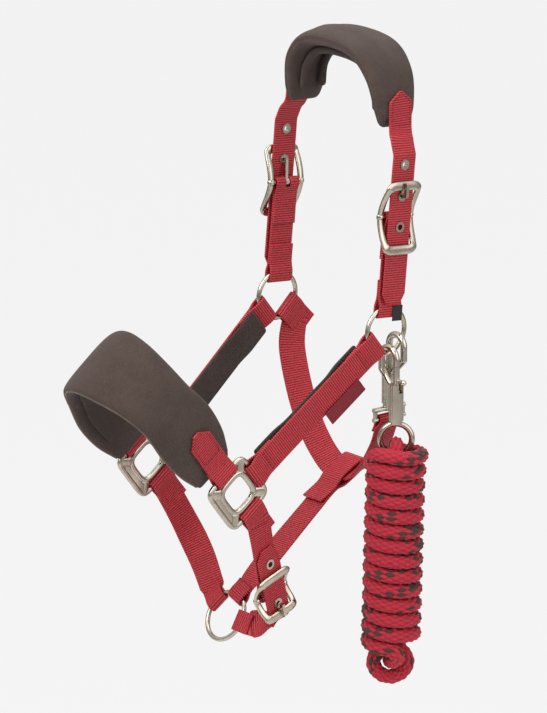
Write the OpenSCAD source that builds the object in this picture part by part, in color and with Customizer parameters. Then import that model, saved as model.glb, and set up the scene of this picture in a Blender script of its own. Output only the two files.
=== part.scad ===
// Horse headcollar in ribbed webbing with padded crown and noseband, and a lead rope in a hank.
// The horse faces -X, its near side is -Y and +Z is up. The origin is under the middle of the poll pad.

/* [Head] */
// Height from the upper rings to the poll
ring_drop = 240; // [232:1:248]
// Half the distance between the upper rings
head_half = 76; // [74:0.5:78]
// Distance forward from an upper ring to its square
cheek_fwd = 158; // [152:1:164]
// Height from a square to its upper ring
cheek_drop = 122; // [117:1:127]

/* [Webbing] */
// Width of every strap
strap_w = 25; // [22:0.5:27]
// Thickness of one layer of webbing
strap_t = 2.2; // [1.6:0.1:2.6]
// Gap kept between layers that lie on each other
layer_gap = 0.4; // [0.3:0.1:0.8]

/* [Rings] */
// Diameter of the round wire of the rings
wire_d = 4.2; // [3.5:0.1:5]
// Clear inner diameter of the upper rings
upper_ring_id = 38; // [36:0.5:44]
// Clear inner diameter of the chin ring
chin_ring_id = 40; // [38:0.5:46]

/* [Squares] */
// Outer side of a cast square
square_side = 52; // [50:0.5:58]
// Side of the square's middle hole
square_hole = 25; // [20:0.5:26]
// Thickness of the casting
square_t = 4.4; // [3.6:0.1:5.2]
// Width of the bar that a strap loops round
square_bar = 4.6; // [4:0.1:5.4]

/* [Buckles] */
// Length of a crown buckle along the strap
buckle_len = 66; // [60:1:74]
// Width of the metal beside the strap
buckle_rail = 7; // [5.5:0.5:9]
// Thickness of the buckle metal
buckle_t = 3.6; // [3:0.1:4.5]
// Diameter of a buckle's middle bar
bar_d = 4.4; // [3.8:0.1:5]
// Diameter of the hole in an eyelet
eyelet_d = 5; // [4.6:0.1:5.6]
// Diameter of a buckle tongue
tongue_d = 3; // [2.6:0.1:3.2]
// Distance from one eyelet to the next
eyelet_pitch = 28; // [24:1:34]

/* [Pads] */
// Thickness of the poll pad
poll_t = 16; // [14:0.5:20]
// Width of the poll pad in its middle
poll_w = 52; // [44:1:56]
// Thickness of the nose pad
nose_t = 12; // [10:0.5:15]
// Width of the nose pad in its middle
nose_w = 72; // [60:1:80]
// Thickness of a cheek lining
lining_t = 3.5; // [2.5:0.5:5]

/* [Lead rope] */
// Diameter of the rope
rope_d = 13; // [12:0.5:14]
// Wraps of rope round the hank
wraps = 12; // [8:1:13]
// Free gap between two wraps
wrap_gap = 0.7; // [0.5:0.1:1.5]
// Radius of the strands inside the hank
core_r = 13.4; // [13.4:0.2:15]
// Travel of the trigger bolt
bolt_travel = 8; // [6:0.5:9]

/* [Hidden] */

red = "#b3202c";
dark_red = "#8c1c26";
brown = "#4a403a";
metal = "#b9b2a6";

clear = 0.3;
wire_r = wire_d / 2;
half_w = strap_w / 2;
// Offset of a layer's middle from the plane between two layers
half_step = (strap_t + layer_gap) / 2;

// Places of the main points, chosen by hand from the shape of a horse's head
ring_at = [-20, -head_half, -ring_drop];
ring_mid = [ring_at.x, 0, ring_at.z];
square_at = ring_at + [-cheek_fwd, 12, -cheek_drop];
square_mid = [square_at.x, 0, square_at.z];
chin_ring_at = square_mid + [38, 0, -136];
throat_low = ring_mid + [16, 0, -148];
bar_at = ring_at + [10, 0, 103];

out = [0, -1, 0];
across = [1, 0, 0];
upper_ring_r = upper_ring_id / 2 + wire_r;
chin_ring_r = chin_ring_id / 2 + wire_r;
// Radius of webbing folded round wire, a square's bar and a buckle's bar, at the middle of its thickness
wire_fold = wire_r + clear + strap_t / 2;
square_fold = norm([square_bar, square_t]) / 2 + clear + strap_t / 2;
bar_fold = bar_d / 2 + clear + strap_t / 2;
stitched = 30;

function unit(v) = v / norm(v);
function polar(a) = [cos(a), 0, sin(a)];
function mix(a, b, s) = a + (b - a) * s;
function ease(s) = let (c = min(1, max(0, s))) c * c * (3 - 2 * c);
function flip(p) = [p.x, -p.y, p.z];
function reversed(list) = [for (i = [len(list) - 1:-1:0]) list[i]];

// Smooth curve through the points p
function curve_point(p, i, s) = let (
  last = len(p) - 1,
  a = i > 0 ? p[i - 1] : 2 * p[0] - p[1],
  d = i + 2 <= last ? p[i + 2] : 2 * p[last] - p[last - 1],
  b = p[i],
  c = p[i + 1]
) b + 0.5 * s * (c - a + s * (2 * a - 5 * b + 4 * c - d + s * (3 * (b - c) + d - a)));
function curve(p, steps) = [
  for (i = [0:len(p) - 2]) for (k = [0:steps - 1]) curve_point(p, i, k / steps),
  p[len(p) - 1]
];
function heading(p, i) = unit(p[min(i + 1, len(p) - 1)] - p[max(i - 1, 0)]);

// A station is a point of a ribbon, the direction of its width there, and the width
function stations(points, sides, w = strap_w) = [
  for (i = [0:len(points) - 1]) [points[i], sides[i], w]
];
function even(side, count) = [for (i = [1:count]) side];

// Webbing folded round a bar at c. It leaves along v on the side o, and its end comes back on the other side.
function fold(c, v, o, side, r, flat, tail) = [
  for (q = concat(
    [v * tail - o * half_step, v * (flat + 2.5 * r) - o * half_step, v * flat - o * r],
    [for (a = [-75:25:75]) o * r * sin(a) - v * r * cos(a)],
    [v * flat + o * r, v * (flat + 2.5 * r) + o * half_step]
  )) [c + q, side, strap_w]
];
// The same fold round the wire of a ring with mean radius r at c
function ring_fold(c, v, o, side, r, tail) = let (
  edge = sqrt(r * r - half_w * half_w),
  slant = wire_r * (r / edge - 1)
) fold(c + v * (edge - slant), v, o, side, wire_fold, r - edge + slant + wire_r / 2, tail);
function bar_flat() = 1;

module skin(rings) {
  n = len(rings[0]);
  last = len(rings) - 1;
  walls = [
    for (i = [0:last - 1]) for (k = [0:n - 1]) let (a = i * n + k, b = i * n + (k + 1) % n)
      each [[a, b + n, b], [a, a + n, b + n]]
  ];
  caps = [for (k = [1:n - 2]) each [[0, k, k + 1], [last * n, last * n + k + 1, last * n + k]]];
  polyhedron(points = [for (ring = rings) each ring], faces = concat(walls, caps));
}

module ribbon(list, t = strap_t) {
  points = [for (s = list) s[0]];
  skin([
    for (i = [0:len(list) - 1]) let (
      d = heading(points, i),
      n = unit(cross(d, list[i][1])),
      s = cross(n, d) * list[i][2] / 2,
      h = n * t / 2
    ) [points[i] - s - h, points[i] + s - h, points[i] + s + h, points[i] - s + h]
  ]);
}

module tube(points, d, sides) {
  skin([
    for (i = [0:len(points) - 1]) let (
      t = heading(points, i),
      s = unit(cross(t, abs(t.z) < 0.9 ? [0, 0, 1] : [1, 0, 0])),
      n = cross(t, s)
    ) [for (k = [0:sides - 1]) points[i] + (s * cos(360 * k / sides) + n * sin(360 * k / sides)) * d / 2]
  ]);
}

// Frame with local X along side, local Y along o and local Z along side cross o
module placed(c, side, o) {
  up = cross(side, o);
  multmatrix([
    [side.x, o.x, up.x, c.x],
    [side.y, o.y, up.y, c.y],
    [side.z, o.z, up.z, c.z],
    [0, 0, 0, 1]
  ])
    children();
}

module off_side() mirror([0, 1, 0]) children();

module rod(a, b, r) {
  d = b - a;
  translate(a)
    rotate([0, acos(d.z / norm(d)), atan2(d.y, d.x)])
      cylinder(h = norm(d), r = r);
}

module ring(r, wire) {
  rotate_extrude()
    translate([r, 0])
      circle(d = wire);
}

// Crown: layers are stacked outward from the plane of the upper ring
crown_dir = unit(bar_at - ring_at);
crown_side = [-crown_dir.z, 0, crown_dir.x];
billet_off = bar_fold + strap_t + layer_gap;
frame_off = billet_off + strap_t / 2 + layer_gap;
bar_h = 8;
eyelet_wall = 0.6;
eyelet_lip = 1.6;
eyelet_r = eyelet_d / 2 + eyelet_wall + eyelet_lip;
billet_hole = buckle_len / 2 - bar_h - eyelet_r - 1;
billet_low = 36;
tip_len = 9;
pad_gap = clear + strap_t / 2;
poll_end_z = -60;
function crown(z, o) = bar_at + crown_dir * z + out * o;

// Middle line of the poll pad, from its near end to its top
poll_side = [[-1, -62, poll_end_z], [0, -61.5, -42], [0, -55, -16], [0, -35, 3], [0, 0, poll_t / 2]];
poll_line = concat(poll_side, [for (i = [len(poll_side) - 2:-1:0]) flip(poll_side[i])]);
// Width of the pad at each of these points, as a share of its width in the middle
poll_shape = [0.6, 0.8, 0.95, 1.01, 1];
pad_sides = 16;
pad_steps = 4;

// Cross-section of a stuffed pad: a crowned face and edges drawn in to the seam
function soft_power(v, p) = sign(v) * pow(abs(v), p);
function pad_section(w, t) = [
  for (k = [0:pad_sides - 1]) let (a = 360 * k / pad_sides + 90 / pad_sides)
    [w / 2 * soft_power(cos(a), 0.75), t / 2 * soft_power(sin(a), 0.7)]
];
function bump(i, count) = 1 - abs(2 * i / (count - 1) - 1);
function both_ways(half) = concat(half, [for (i = [len(half) - 2:-1:0]) half[i]]);
// A pad along points p with its width along side; w is its width at each point
function pad_rings(p, side, w, t0, t1) = [
  for (i = [0:len(p) - 1]) let (
    d = heading(p, i),
    n = unit(cross(d, side))
  ) [
    for (q = pad_section(w[i], mix(t0, t1, ease(bump(i, len(p)) * 5)))) p[i] + side * q.x + n * q.y
  ]
];

module poll_pad() color(brown)
  skin(pad_rings(
    curve(poll_line, pad_steps), across, poll_w * curve(both_ways(poll_shape), pad_steps), poll_t * 0.6, poll_t
  ));

// Lining rolls under the poll pad, either side of a middle channel
roll_d = 7;
roll_x = poll_w / 5;
module poll_pad_lining() color(brown) {
  inner = [for (i = [1:len(poll_line) - 2]) let (p = poll_line[i])
    p - unit([0, p.y, p.z + 70]) * (poll_t / 2 + roll_d / 2 + 2 * clear)];
  for (x = [-roll_x, roll_x])
    tube([for (p = curve(inner, 3)) p + [x, 0, 0]], roll_d, 8);
}

// Billet: pointed end on the pad, then down through the buckle to its free end
pad_face_y = -62 - poll_t * 0.5 - pad_gap;
billet_line = concat(
  curve([
    [0, pad_face_y + 0.4, poll_end_z + 24], [-1, pad_face_y - 0.6, poll_end_z],
    crown(buckle_len / 2 + 34, billet_off - 4.6), crown(buckle_len / 2 + 23, billet_off)
  ], 4),
  [for (z = [buckle_len / 2 + 12, buckle_len / 2, 0, -buckle_len / 2, -buckle_len / 2 - billet_low])
    crown(z, billet_off)]
);
billet_eyelets = [for (k = [-1:1]) billet_hole + k * eyelet_pitch];

// A ribbon whose first and last stretches narrow to a tip
function tips(points, side, first, last) = let (n = len(points) - 1) concat(
  [[points[0] - heading(points, 0) * tip_len, side, first]],
  stations(points, even(side, n + 1)),
  [[points[n] + heading(points, n) * tip_len, side, last]]
);

module billet() color(red)
  difference() {
    ribbon(tips(billet_line, crown_side, 3, strap_w * 0.6));
    for (z = billet_eyelets)
      placed(crown(z, billet_off), crown_side, out)
        eyelet_hole();
  }
module near_billet() billet();
module off_billet() off_side() billet();

module eyelet_hole()
  rotate([90, 0, 0])
    cylinder(h = strap_t * 4, d = eyelet_d + 2 * eyelet_wall + 2 * clear, center = true);

// Rolled eyelet: a thin sleeve with a lip on each face of the webbing
eyelet_seat = strap_t / 2 + 0.15;
module eyelet()
  rotate([90, 0, 0])
    rotate_extrude()
      translate([eyelet_d / 2, 0]) {
        translate([0, -eyelet_seat - eyelet_wall])
          square([eyelet_wall, 2 * (eyelet_seat + eyelet_wall)]);
        for (z = [-eyelet_seat - eyelet_wall, eyelet_seat])
          translate([0, z])
            square([eyelet_wall + eyelet_lip, eyelet_wall]);
      }
module crown_eyelets() color(metal)
  for (z = billet_eyelets)
    placed(crown(z, billet_off), crown_side, out)
      eyelet();
module near_eyelets() crown_eyelets();
module off_eyelets() off_side() crown_eyelets();

// Flat bar across a buckle with round edges: X is its length, Y its thickness and Z its height
module flat_bar(w, t, h) {
  cube([w, t, h - t], center = true);
  for (z = [-1, 1])
    translate([0, 0, z * (h - t) / 2])
      rotate([0, 90, 0])
        cylinder(h = w, d = t, center = true);
}

// Bowed frame: the middle bar lies low, and the end bars stand out over the billet
rail_in = half_w + 1;
function bow(z, len, top) = top * pow(abs(2 * z / len), 1.6);
module buckle_frame(len, keeper) {
  top = frame_off + buckle_t / 2;
  n = 12;
  for (x = [-1, 1])
    translate([x * (rail_in + buckle_rail / 2), 0, 0])
      rotate([90, 0, 90])
        linear_extrude(height = buckle_rail, center = true)
          polygon(concat(
            [for (i = [-n:n]) let (z = i / n * len / 2) [bow(z, len, top) + buckle_t / 2 - 0.2, z]],
            [for (i = [n:-1:-n]) let (z = i / n * len / 2) [bow(z, len, top) - buckle_t / 2, z]]
          ));
  rotate([0, 90, 0])
    cylinder(h = 2 * rail_in + buckle_rail, d = bar_d, center = true);
  translate([0, top, len / 2 - bar_h / 2])
    flat_bar(2 * rail_in + buckle_rail, buckle_t, bar_h);
  translate([0, top, -len / 2 + keeper / 2])
    flat_bar(2 * rail_in + buckle_rail, buckle_t, keeper);
}

// Tongue: an eye on the middle bar, a straight shank, and a tip through the eyelet that lies on the top bar
tongue_fit = 0.06;
tongue_eye = 1.2;
module buckle_tongue(len, hole) {
  r = tongue_d / 2;
  low = bar_d / 2 - r * 0.2;
  post = tongue_d * 0.4;
  start = hole - 0.4;
  end = hole + 0.6;
  over = frame_off + buckle_t + r + clear;
  tip = len / 2 - bar_h * 0.3;
  difference() {
    union() {
      rotate([0, 90, 0])
        cylinder(h = tongue_d + 0.8, d = bar_d + 2 * tongue_eye, center = true);
      rotate([90, 0, 90])
        linear_extrude(height = tongue_d, center = true)
          polygon([
            [-r, 0], [low - r, start + post], [over - r, end + post], [over - r, tip], [over, tip + r],
            [over + r, tip], [over + r, end - post], [low + r, start - post], [r, 0]
          ]);
    }
    rotate([0, 90, 0])
      cylinder(h = 2 * tongue_d, d = bar_d + 2 * tongue_fit, center = true);
  }
}
keeper_h = 9;
module crown_frame() color(metal)
  placed(bar_at, crown_side, out)
    buckle_frame(buckle_len, keeper_h);
module near_buckle_frame() crown_frame();
module off_buckle_frame() off_side() crown_frame();
module crown_tongue() color(metal)
  placed(bar_at, crown_side, out)
    buckle_tongue(buckle_len, billet_hole);
module near_buckle_tongue() crown_tongue();
module off_buckle_tongue() off_side() crown_tongue();

// Slot in the fold of webbing round a buckle bar, where the tongue sits
slot_w = tongue_d + 3;
slot_len = 2 * bar_fold + 8;
module tongue_slot()
  translate([0, 0, slot_len / 2 - bar_fold])
    cube([slot_w, 4 * bar_fold, slot_len], center = true);

module buckle_loop() color(red)
  difference() {
    ribbon(concat(
      ring_fold(ring_at, crown_dir, out, crown_side, upper_ring_r, stitched),
      reversed(fold(bar_at, -crown_dir, out, crown_side, bar_fold, bar_flat(), stitched + 8))
    ));
    placed(bar_at, crown_side, out)
      tongue_slot();
  }
module near_buckle_loop() buckle_loop();
module off_buckle_loop() off_side() buckle_loop();

// Small plain tag on one half of the near loop, where it folds round the ring
tag_w = 11;
tag_h = 14;
tag_t = 0.9;
module ring_tag() color("#2b2b2b")
  placed(
    ring_at + crown_dir * (upper_ring_r - 4.5) + out * (wire_fold + strap_t / 2 + clear + tag_t / 2)
      - crown_side * (half_w - tag_w / 2),
    crown_side, out
  )
    cube([tag_w, tag_t, tag_h], center = true);

module upper_ring() color(metal)
  translate(ring_at)
    rotate([90, 0, 0])
      ring(upper_ring_r, wire_d);
module near_upper_ring() upper_ring();
module off_upper_ring() off_side() upper_ring();

// Face: directions from a square to its ring and over the nose, in the side plane
face_dir = unit([ring_at.x - square_at.x, 0, ring_at.z - square_at.z]);
nose_dir = [-face_dir.z, 0, face_dir.x];
bar_out = square_side / 2 - square_bar / 2;
square_slot_in = bar_out - square_fold - strap_t / 2 - clear;
square_round = 7;
function face(h, y) = square_mid + nose_dir * h + [0, y, 0];

module rounded_square(side, r) {
  square([side, side - 2 * r], center = true);
  square([side - 2 * r, side], center = true);
  for (x = [-1, 1], y = [-1, 1])
    translate([x, y] * (side / 2 - r))
      circle(r = r);
}

// Cast square: three strap slots, a middle hole and one solid side with a shallow bare groove
groove = 0.8;
module square_casting() color(metal)
  placed(square_at, nose_dir, out)
    rotate([90, 0, 0])
      difference() {
        linear_extrude(height = square_t, center = true)
          difference() {
            rounded_square(square_side, square_round);
            rounded_square(square_hole, square_round / 2);
            for (a = [0, 90, 180])
              rotate(a)
                translate([(bar_out - square_bar / 2 + square_slot_in) / 2, 0])
                  square([bar_out - square_bar / 2 - square_slot_in, strap_w + 2], center = true);
          }
        translate([0, -(square_side + square_hole) / 4, -square_t / 2])
          cube([strap_w, (square_side - square_hole) / 5, 2 * groove], center = true);
      }
module near_square() square_casting();
module off_square() off_side() square_casting();

// Straight outer layer of a cheek strap between its two folds
cheek_top = ring_at - face_dir * (upper_ring_r + wire_r / 2 + 2.5 * wire_fold) + out * half_step;
cheek_fold = bar_flat() + 2.5 * square_fold;
cheek_run = unit(square_at + face_dir * (bar_out + cheek_fold) + out * half_step - cheek_top);
cheek_out = unit(cross(nose_dir, cheek_run));
cheek_low = square_at + face_dir * bar_out - cheek_run * cheek_fold + cheek_out * half_step;
cheek_flat = unit(cross(nose_dir, cheek_low - cheek_top));

module cheek_strap() color(red)
  ribbon(concat(
    ring_fold(ring_at, -face_dir, out, nose_dir, upper_ring_r, stitched),
    reversed(fold(
      square_at + face_dir * bar_out, -cheek_run, cheek_out, nose_dir, square_fold, bar_flat(), stitched
    ))
  ));
module near_cheek_strap() cheek_strap();
module off_cheek_strap() off_side() cheek_strap();

// Padded lining on the inside of a cheek strap
lining_over = 3;
lining_off = strap_t / 2 + 2 * clear + lining_t / 2;
module cheek_lining() color(brown) {
  line = [for (s = [0:0.1:1]) mix(cheek_top, cheek_low, s)
    - cheek_flat * (lining_off + 2 * half_step * ease(abs(2 * s - 1) / 0.3 - 1.2))];
  ribbon(stations(line, even(nose_dir, len(line)), strap_w + lining_over), lining_t);
}
module near_cheek_lining() cheek_lining();
module off_cheek_lining() off_side() cheek_lining();

// Plain woven tag sewn to the lower edge of the near cheek strap
side_tag_l = 44;
side_tag_w = 14;
side_tag_t = 0.9;
side_tag_at = 0.3;
module side_tag() color(dark_red)
  placed(mix(cheek_top, cheek_low, side_tag_at) - nose_dir * (half_w + side_tag_w / 2 - 2.5)
    + cheek_flat * (strap_t / 2 + clear + side_tag_t / 2), nose_dir, cheek_flat)
    cube([side_tag_w, side_tag_t, side_tag_l], center = true);

// Noseband pad over the nose
nose_shift = -3;
nose_side = [
  for (p = [[29, -56], [56, -58.5], [84, -58], [110, -53], [133, -40], [149, -21], [156, 0]])
    face(p[0], p[1]) + face_dir * nose_shift
];
nose_line = concat(nose_side, [for (i = [len(nose_side) - 2:-1:0]) flip(nose_side[i])]);
// Width of the pad at each of these points, as a share of its width in the middle
nose_shape = [0.56, 0.8, 0.88, 0.82, 0.87, 0.96, 1];
nose_widths = nose_w * both_ways(nose_shape);
module nose_pad() color(brown)
  skin(pad_rings(curve(nose_line, pad_steps), face_dir, curve(nose_widths, pad_steps), nose_t * 0.5, nose_t));

// Lining inside the nose pad: a flat padded band that follows the pad
nose_lining_t = 4;
module nose_pad_lining() color(brown) {
  path = curve([for (i = [1:len(nose_line) - 2]) nose_line[i]], pad_steps);
  wide = curve([for (i = [1:len(nose_widths) - 2]) nose_widths[i]], pad_steps);
  ribbon([
    for (i = [0:len(path) - 1]) let (inward = unit(cross(heading(path, i), face_dir)))
      [path[i] + inward * (nose_t / 2 + nose_lining_t / 2 + clear), face_dir, wide[i] * 0.72]
  ], nose_lining_t);
}

// Webbing tab from a square onto the pad, with a pointed end
tab_off = nose_t / 2 + pad_gap;
module nose_tab() color(red) {
  start = fold(square_at + nose_dir * bar_out, nose_dir, out, face_dir, square_fold, bar_flat(), 14);
  on_pad = [face(52, -58.3 - tab_off), face(66, -58.9 - tab_off), face(80, -58.7 - tab_off)];
  last = len(on_pad) - 1;
  ribbon(concat(
    start,
    stations(on_pad, even(face_dir, len(on_pad))),
    [[on_pad[last] + nose_dir * tip_len, face_dir, 6]]
  ));
}
module near_nose_tab() nose_tab();
module off_nose_tab() off_side() nose_tab();

// Chin: the ring hangs in a plane that leans forward, and its straps lie in that plane
chin_up = unit([0.49, 0, 0.87]);
chin_out = [chin_up.z, 0, -chin_up.x];
chin_spread = 90;
function chin_dir(a) = chin_up * cos(a) + [0, sin(a), 0];
function chin_across(a) = chin_up * abs(sin(a)) - [0, sign(a) * cos(a), 0];
function ends(list) = [list[len(list) - 2][0], list[len(list) - 1][0]];
// Smooth stretch from the last two stations of one fold, through points, to the first two of the next
function bridge(from, points, to, sides, steps) = let (
  p = concat(ends(from), points, reversed(ends(reversed(to)))),
  q = [for (i = [1:len(p) - 3]) for (k = [i == 1 ? 1 : 0:steps - 1]) curve_point(p, i, k / steps)],
  n = len(q) - 1,
  m = len(sides) - 1
) stations(q, [
  for (i = [0:n]) let (s = i / n * m, k = min(floor(s), m - 1)) unit(mix(sides[k], sides[k + 1], ease(s - k)))
]);

off_chin_points = [for (p = [[32, 66, -46], [46, 62, -82], [51, 50, -112]]) square_mid + p];
module off_chin_strap() color(red) {
  slot = flip(square_at) - nose_dir * bar_out;
  top = fold(slot, -nose_dir, -out, face_dir, square_fold, bar_flat(), stitched);
  low = reversed(ring_fold(chin_ring_at, chin_dir(chin_spread), chin_out, chin_across(chin_spread),
    chin_ring_r, stitched));
  ribbon(concat(top, bridge(top, off_chin_points, low, [face_dir, chin_up], 4), low));
}

// Buckle of the chin strap, turned to face the ring
chin_bar_at = square_mid + [45, -54, -102];
chin_run = unit([0.3, 0.1, -0.95]);
chin_side = unit(cross(cross(chin_run, mix(face_dir, chin_up, 0.6)), chin_run));
chin_face = unit(cross(chin_run, chin_side));
chin_len = 46;
chin_bar_h = 7;
chin_hole = chin_len / 2 - bar_h - eyelet_r - 1;
chin_low = 16;
function chin(z, o) = chin_bar_at + chin_run * z + chin_face * o;

near_chin_points = [for (p = [[26, -64.5, -44], [33, -61, -66]]) square_mid + p];
module near_chin_strap() color(red)
  difference() {
    top = fold(square_at - nose_dir * bar_out, -nose_dir, out, face_dir, square_fold, bar_flat(), stitched);
    low = reversed(fold(chin_bar_at, -chin_run, chin_face, chin_side, bar_fold, bar_flat(), stitched / 2));
    ribbon(concat(top, bridge(top, near_chin_points, low, [face_dir, chin_side], 4), low));
    placed(chin_bar_at, chin_side, chin_face)
      tongue_slot();
  }

// Billet of the chin strap: folded on the ring, through the buckle, with its free end beyond
chin_eyelet_at = [chin_hole, -chin_len / 2 - 9];
module chin_billet() color(red)
  difference() {
    start = ring_fold(chin_ring_at, chin_dir(-chin_spread), chin_out, chin_across(-chin_spread),
      chin_ring_r, stitched / 2);
    rest = stations([
      chin(chin_len / 2 + 5, billet_off - 3), chin(chin_len / 2 - 3, billet_off - 0.3),
      chin(chin_hole + 4, billet_off), chin(0, billet_off),
      chin(-chin_len / 2, billet_off), chin(-chin_len / 2 - chin_low, billet_off)
    ], even(chin_side, 6));
    end = [[chin(-chin_len / 2 - chin_low - tip_len, billet_off), chin_side, strap_w * 0.5]];
    ribbon(concat(start, bridge(start, [], rest, [chin_up, chin_side], 6), rest, end));
    for (z = chin_eyelet_at)
      placed(chin(z, billet_off), chin_side, chin_face)
        eyelet_hole();
  }
module chin_eyelets() color(metal)
  for (z = chin_eyelet_at)
    placed(chin(z, billet_off), chin_side, chin_face)
      eyelet();
module chin_buckle_frame() color(metal)
  placed(chin_bar_at, chin_side, chin_face)
    buckle_frame(chin_len, chin_bar_h);
module chin_buckle_tongue() color(metal)
  placed(chin_bar_at, chin_side, chin_face)
    buckle_tongue(chin_len, chin_hole);
module chin_ring() color(metal)
  placed(chin_ring_at, [0, 1, 0], chin_up)
    ring(chin_ring_r, wire_d);

// Trigger hook: it hangs on the near ring, with its bolt and barrel on the outer side
hook_angle = 276;
wire_at = ring_at + polar(hook_angle) * upper_ring_r;
rod_r = 3;
bend_r = 10;
hook_seat = 0.8;
bend_at = wire_at + [0, -2, wire_r + rod_r + hook_seat - bend_r];
axis_y = bend_at.y - bend_r;
arm_y = bend_at.y + bend_r;
barrel_r = 6.6;
barrel_top = bend_at.z - 21.5;
barrel_low = barrel_top - 33;
bolt_r = 3.1;
bolt_fit = 0.05;
bolt_tip = bend_at.z - 6;
flange_r = 4.3;
flange_t = 1.5;
collar_h = 5;
chamber_r = flange_r + 0.4;
chamber_low = barrel_top - 24;
stem_r = 2.2;
stud_r = 2;
stud_len = 10;
stud_z = barrel_top + stud_r + 1;
head_r = 3.9;
head_h = 3;
neck_r = 2.5;
neck_fit = 0.06;
head_low = barrel_low + 3.8;
on_axis = [wire_at.x, axis_y, 0];

module turned_in_side_plane() rotate([90, 0, 90]) children();

module hook_body() color(metal)
  difference() {
    union() {
      translate(bend_at)
        turned_in_side_plane()
          rotate_extrude(angle = 180)
            translate([bend_r, 0])
              circle(r = rod_r);
      rod([wire_at.x, axis_y, bend_at.z], [wire_at.x, axis_y, bolt_tip + clear], rod_r);
      rod([wire_at.x, arm_y, bend_at.z], [wire_at.x, arm_y, barrel_top + 10], rod_r);
      translate([wire_at.x, arm_y, barrel_top + 10])
        sphere(r = rod_r);
      rod(
        [wire_at.x, arm_y, barrel_top + 10],
        [wire_at.x, axis_y + barrel_r - rod_r / 2, barrel_top - 4],
        rod_r
      );
      translate(on_axis + [0, 0, barrel_low])
        cylinder(h = barrel_top - barrel_low, r = barrel_r);
    }
    translate(on_axis) {
      translate([0, 0, barrel_top - collar_h])
        cylinder(h = collar_h + 12, r = bolt_r + bolt_fit);
      translate([0, 0, chamber_low])
        cylinder(h = barrel_top - collar_h - chamber_low, r = chamber_r);
      translate([0, 0, head_low - clear])
        cylinder(h = head_h + 2 * clear, r = head_r + clear);
      translate([0, 0, barrel_low - 1])
        cylinder(h = head_low - barrel_low + 2, r = neck_r + neck_fit);
      translate([-stud_r - clear, -barrel_r - 1, stud_z - bolt_travel - stud_r - clear])
        cube([2 * (stud_r + clear), barrel_r + 1, bolt_travel + 2 * stud_r + clear + 2]);
    }
  }

module hook_bolt() color(metal)
  translate(on_axis) {
    translate([0, 0, barrel_top - collar_h - clear - flange_t])
      cylinder(h = bolt_tip - barrel_top + collar_h + clear + flange_t, r = bolt_r);
    translate([0, 0, barrel_top - collar_h - clear - flange_t])
      cylinder(h = flange_t, r = flange_r);
    translate([0, 0, chamber_low + bolt_travel + 1])
      cylinder(h = barrel_top - collar_h - chamber_low - bolt_travel - 1 - flange_t / 2, r = stem_r);
    translate([0, 0, stud_z])
      rotate([90, 0, 0])
        cylinder(h = stud_len, r = stud_r);
    translate([0, -stud_len, stud_z])
      sphere(r = stud_r + 0.6);
  }

// Return spring round the bolt's stem
spring_wire = 0.9;
spring_r = (stem_r + chamber_r) / 2;
spring_turns = 5;
spring_low = chamber_low + spring_wire / 2 + 0.1;
spring_high = barrel_top - collar_h - clear - flange_t - spring_wire / 2 - 0.1;
module hook_spring() color("silver")
  translate(on_axis)
    tube([
      for (i = [0:spring_turns * 8]) let (a = 45 * i)
        [spring_r * cos(a), spring_r * sin(a), mix(spring_low, spring_high, i / (spring_turns * 8))]
    ], spring_wire, 6);

// Swivel: a headed stem in the barrel and a ring that the rope goes through
eye_r = 14;
eye_wire = 5.4;
eye_turn = -39;
eye_z = barrel_low - 2 - eye_r - eye_wire / 4;
module swivel_eye() color(metal)
  translate(on_axis) {
    swivel_stem();
    translate([0, 0, barrel_low - 2 - eye_wire / 4])
      cylinder(h = 2 - clear + eye_wire / 4, r = eye_wire);
    translate([0, 0, eye_z])
      rotate([90, 0, eye_turn])
        ring(eye_r, eye_wire);
  }

// Throat clip: the same hook turned inward, on the near ring behind the lead hook, with an eye for webbing
clip_angle = 312;
clip_seat = 3.2;
clip_wire = ring_at + polar(clip_angle) * upper_ring_r + [0, 0, clip_seat];
clip_top = barrel_low - 2.5 - bar_d / 2;
clip_low = clip_top - 9;
clip_half = half_w + 1 + bar_d / 2;
clip_bar_at = clip_wire + [0, wire_at.y - axis_y, clip_low - wire_at.z];
module clip_place() translate(clip_wire) rotate(180) translate(-wire_at) children();

module swivel_stem() {
  translate([0, 0, head_low])
    cylinder(h = head_h, r = head_r);
  translate([0, 0, barrel_low - 2])
    cylinder(h = head_low - barrel_low + 2.5, r = neck_r);
}
module throat_clip_body() clip_place() hook_body();
module throat_clip_bolt() clip_place() hook_bolt();
module throat_clip_spring() clip_place() hook_spring();
module throat_clip_eye() color(metal)
  clip_place()
    translate(on_axis) {
      swivel_stem();
      translate([0, 0, clip_top - bar_d / 2 + 0.2])
        cylinder(h = barrel_low - clear - clip_top + bar_d / 2 - 0.2, r = barrel_r - 1);
      for (z = [clip_top, clip_low])
        translate([0, 0, z])
          rotate([0, 90, 0])
            cylinder(h = 2 * clip_half + bar_d, d = bar_d, center = true);
      for (x = [-clip_half, clip_half])
        translate([x, 0, clip_low])
          cylinder(h = clip_top - clip_low, d = bar_d * 0.9);
    }

// Throat lash: a U of webbing from the throat clip to the off ring
throat_off = 314;
throat_side = polar(30);
throat_start = unit([0, 0.5, -0.86]);
throat_points = [
  for (p = [
    [-1, -52, 38], [0, -36, 17], [0, -18, 2], [0, 0, 0],
    [0, 18, 2], [-3, 38, 24], [-4, 56, 56], [-2, 72, 98]
  ]) throat_low + p
];
module throat_strap() color(red) {
  off_across = polar(throat_off + 90);
  near = fold(
    clip_bar_at, throat_start, cross(throat_start, across), across, bar_fold, bar_flat(), stitched / 2
  );
  off = reversed(ring_fold(flip(ring_at), polar(throat_off), -out, off_across, upper_ring_r, stitched));
  ribbon(concat(near, bridge(near, throat_points, off, [across, throat_side, off_across], 4), off));
}

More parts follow.
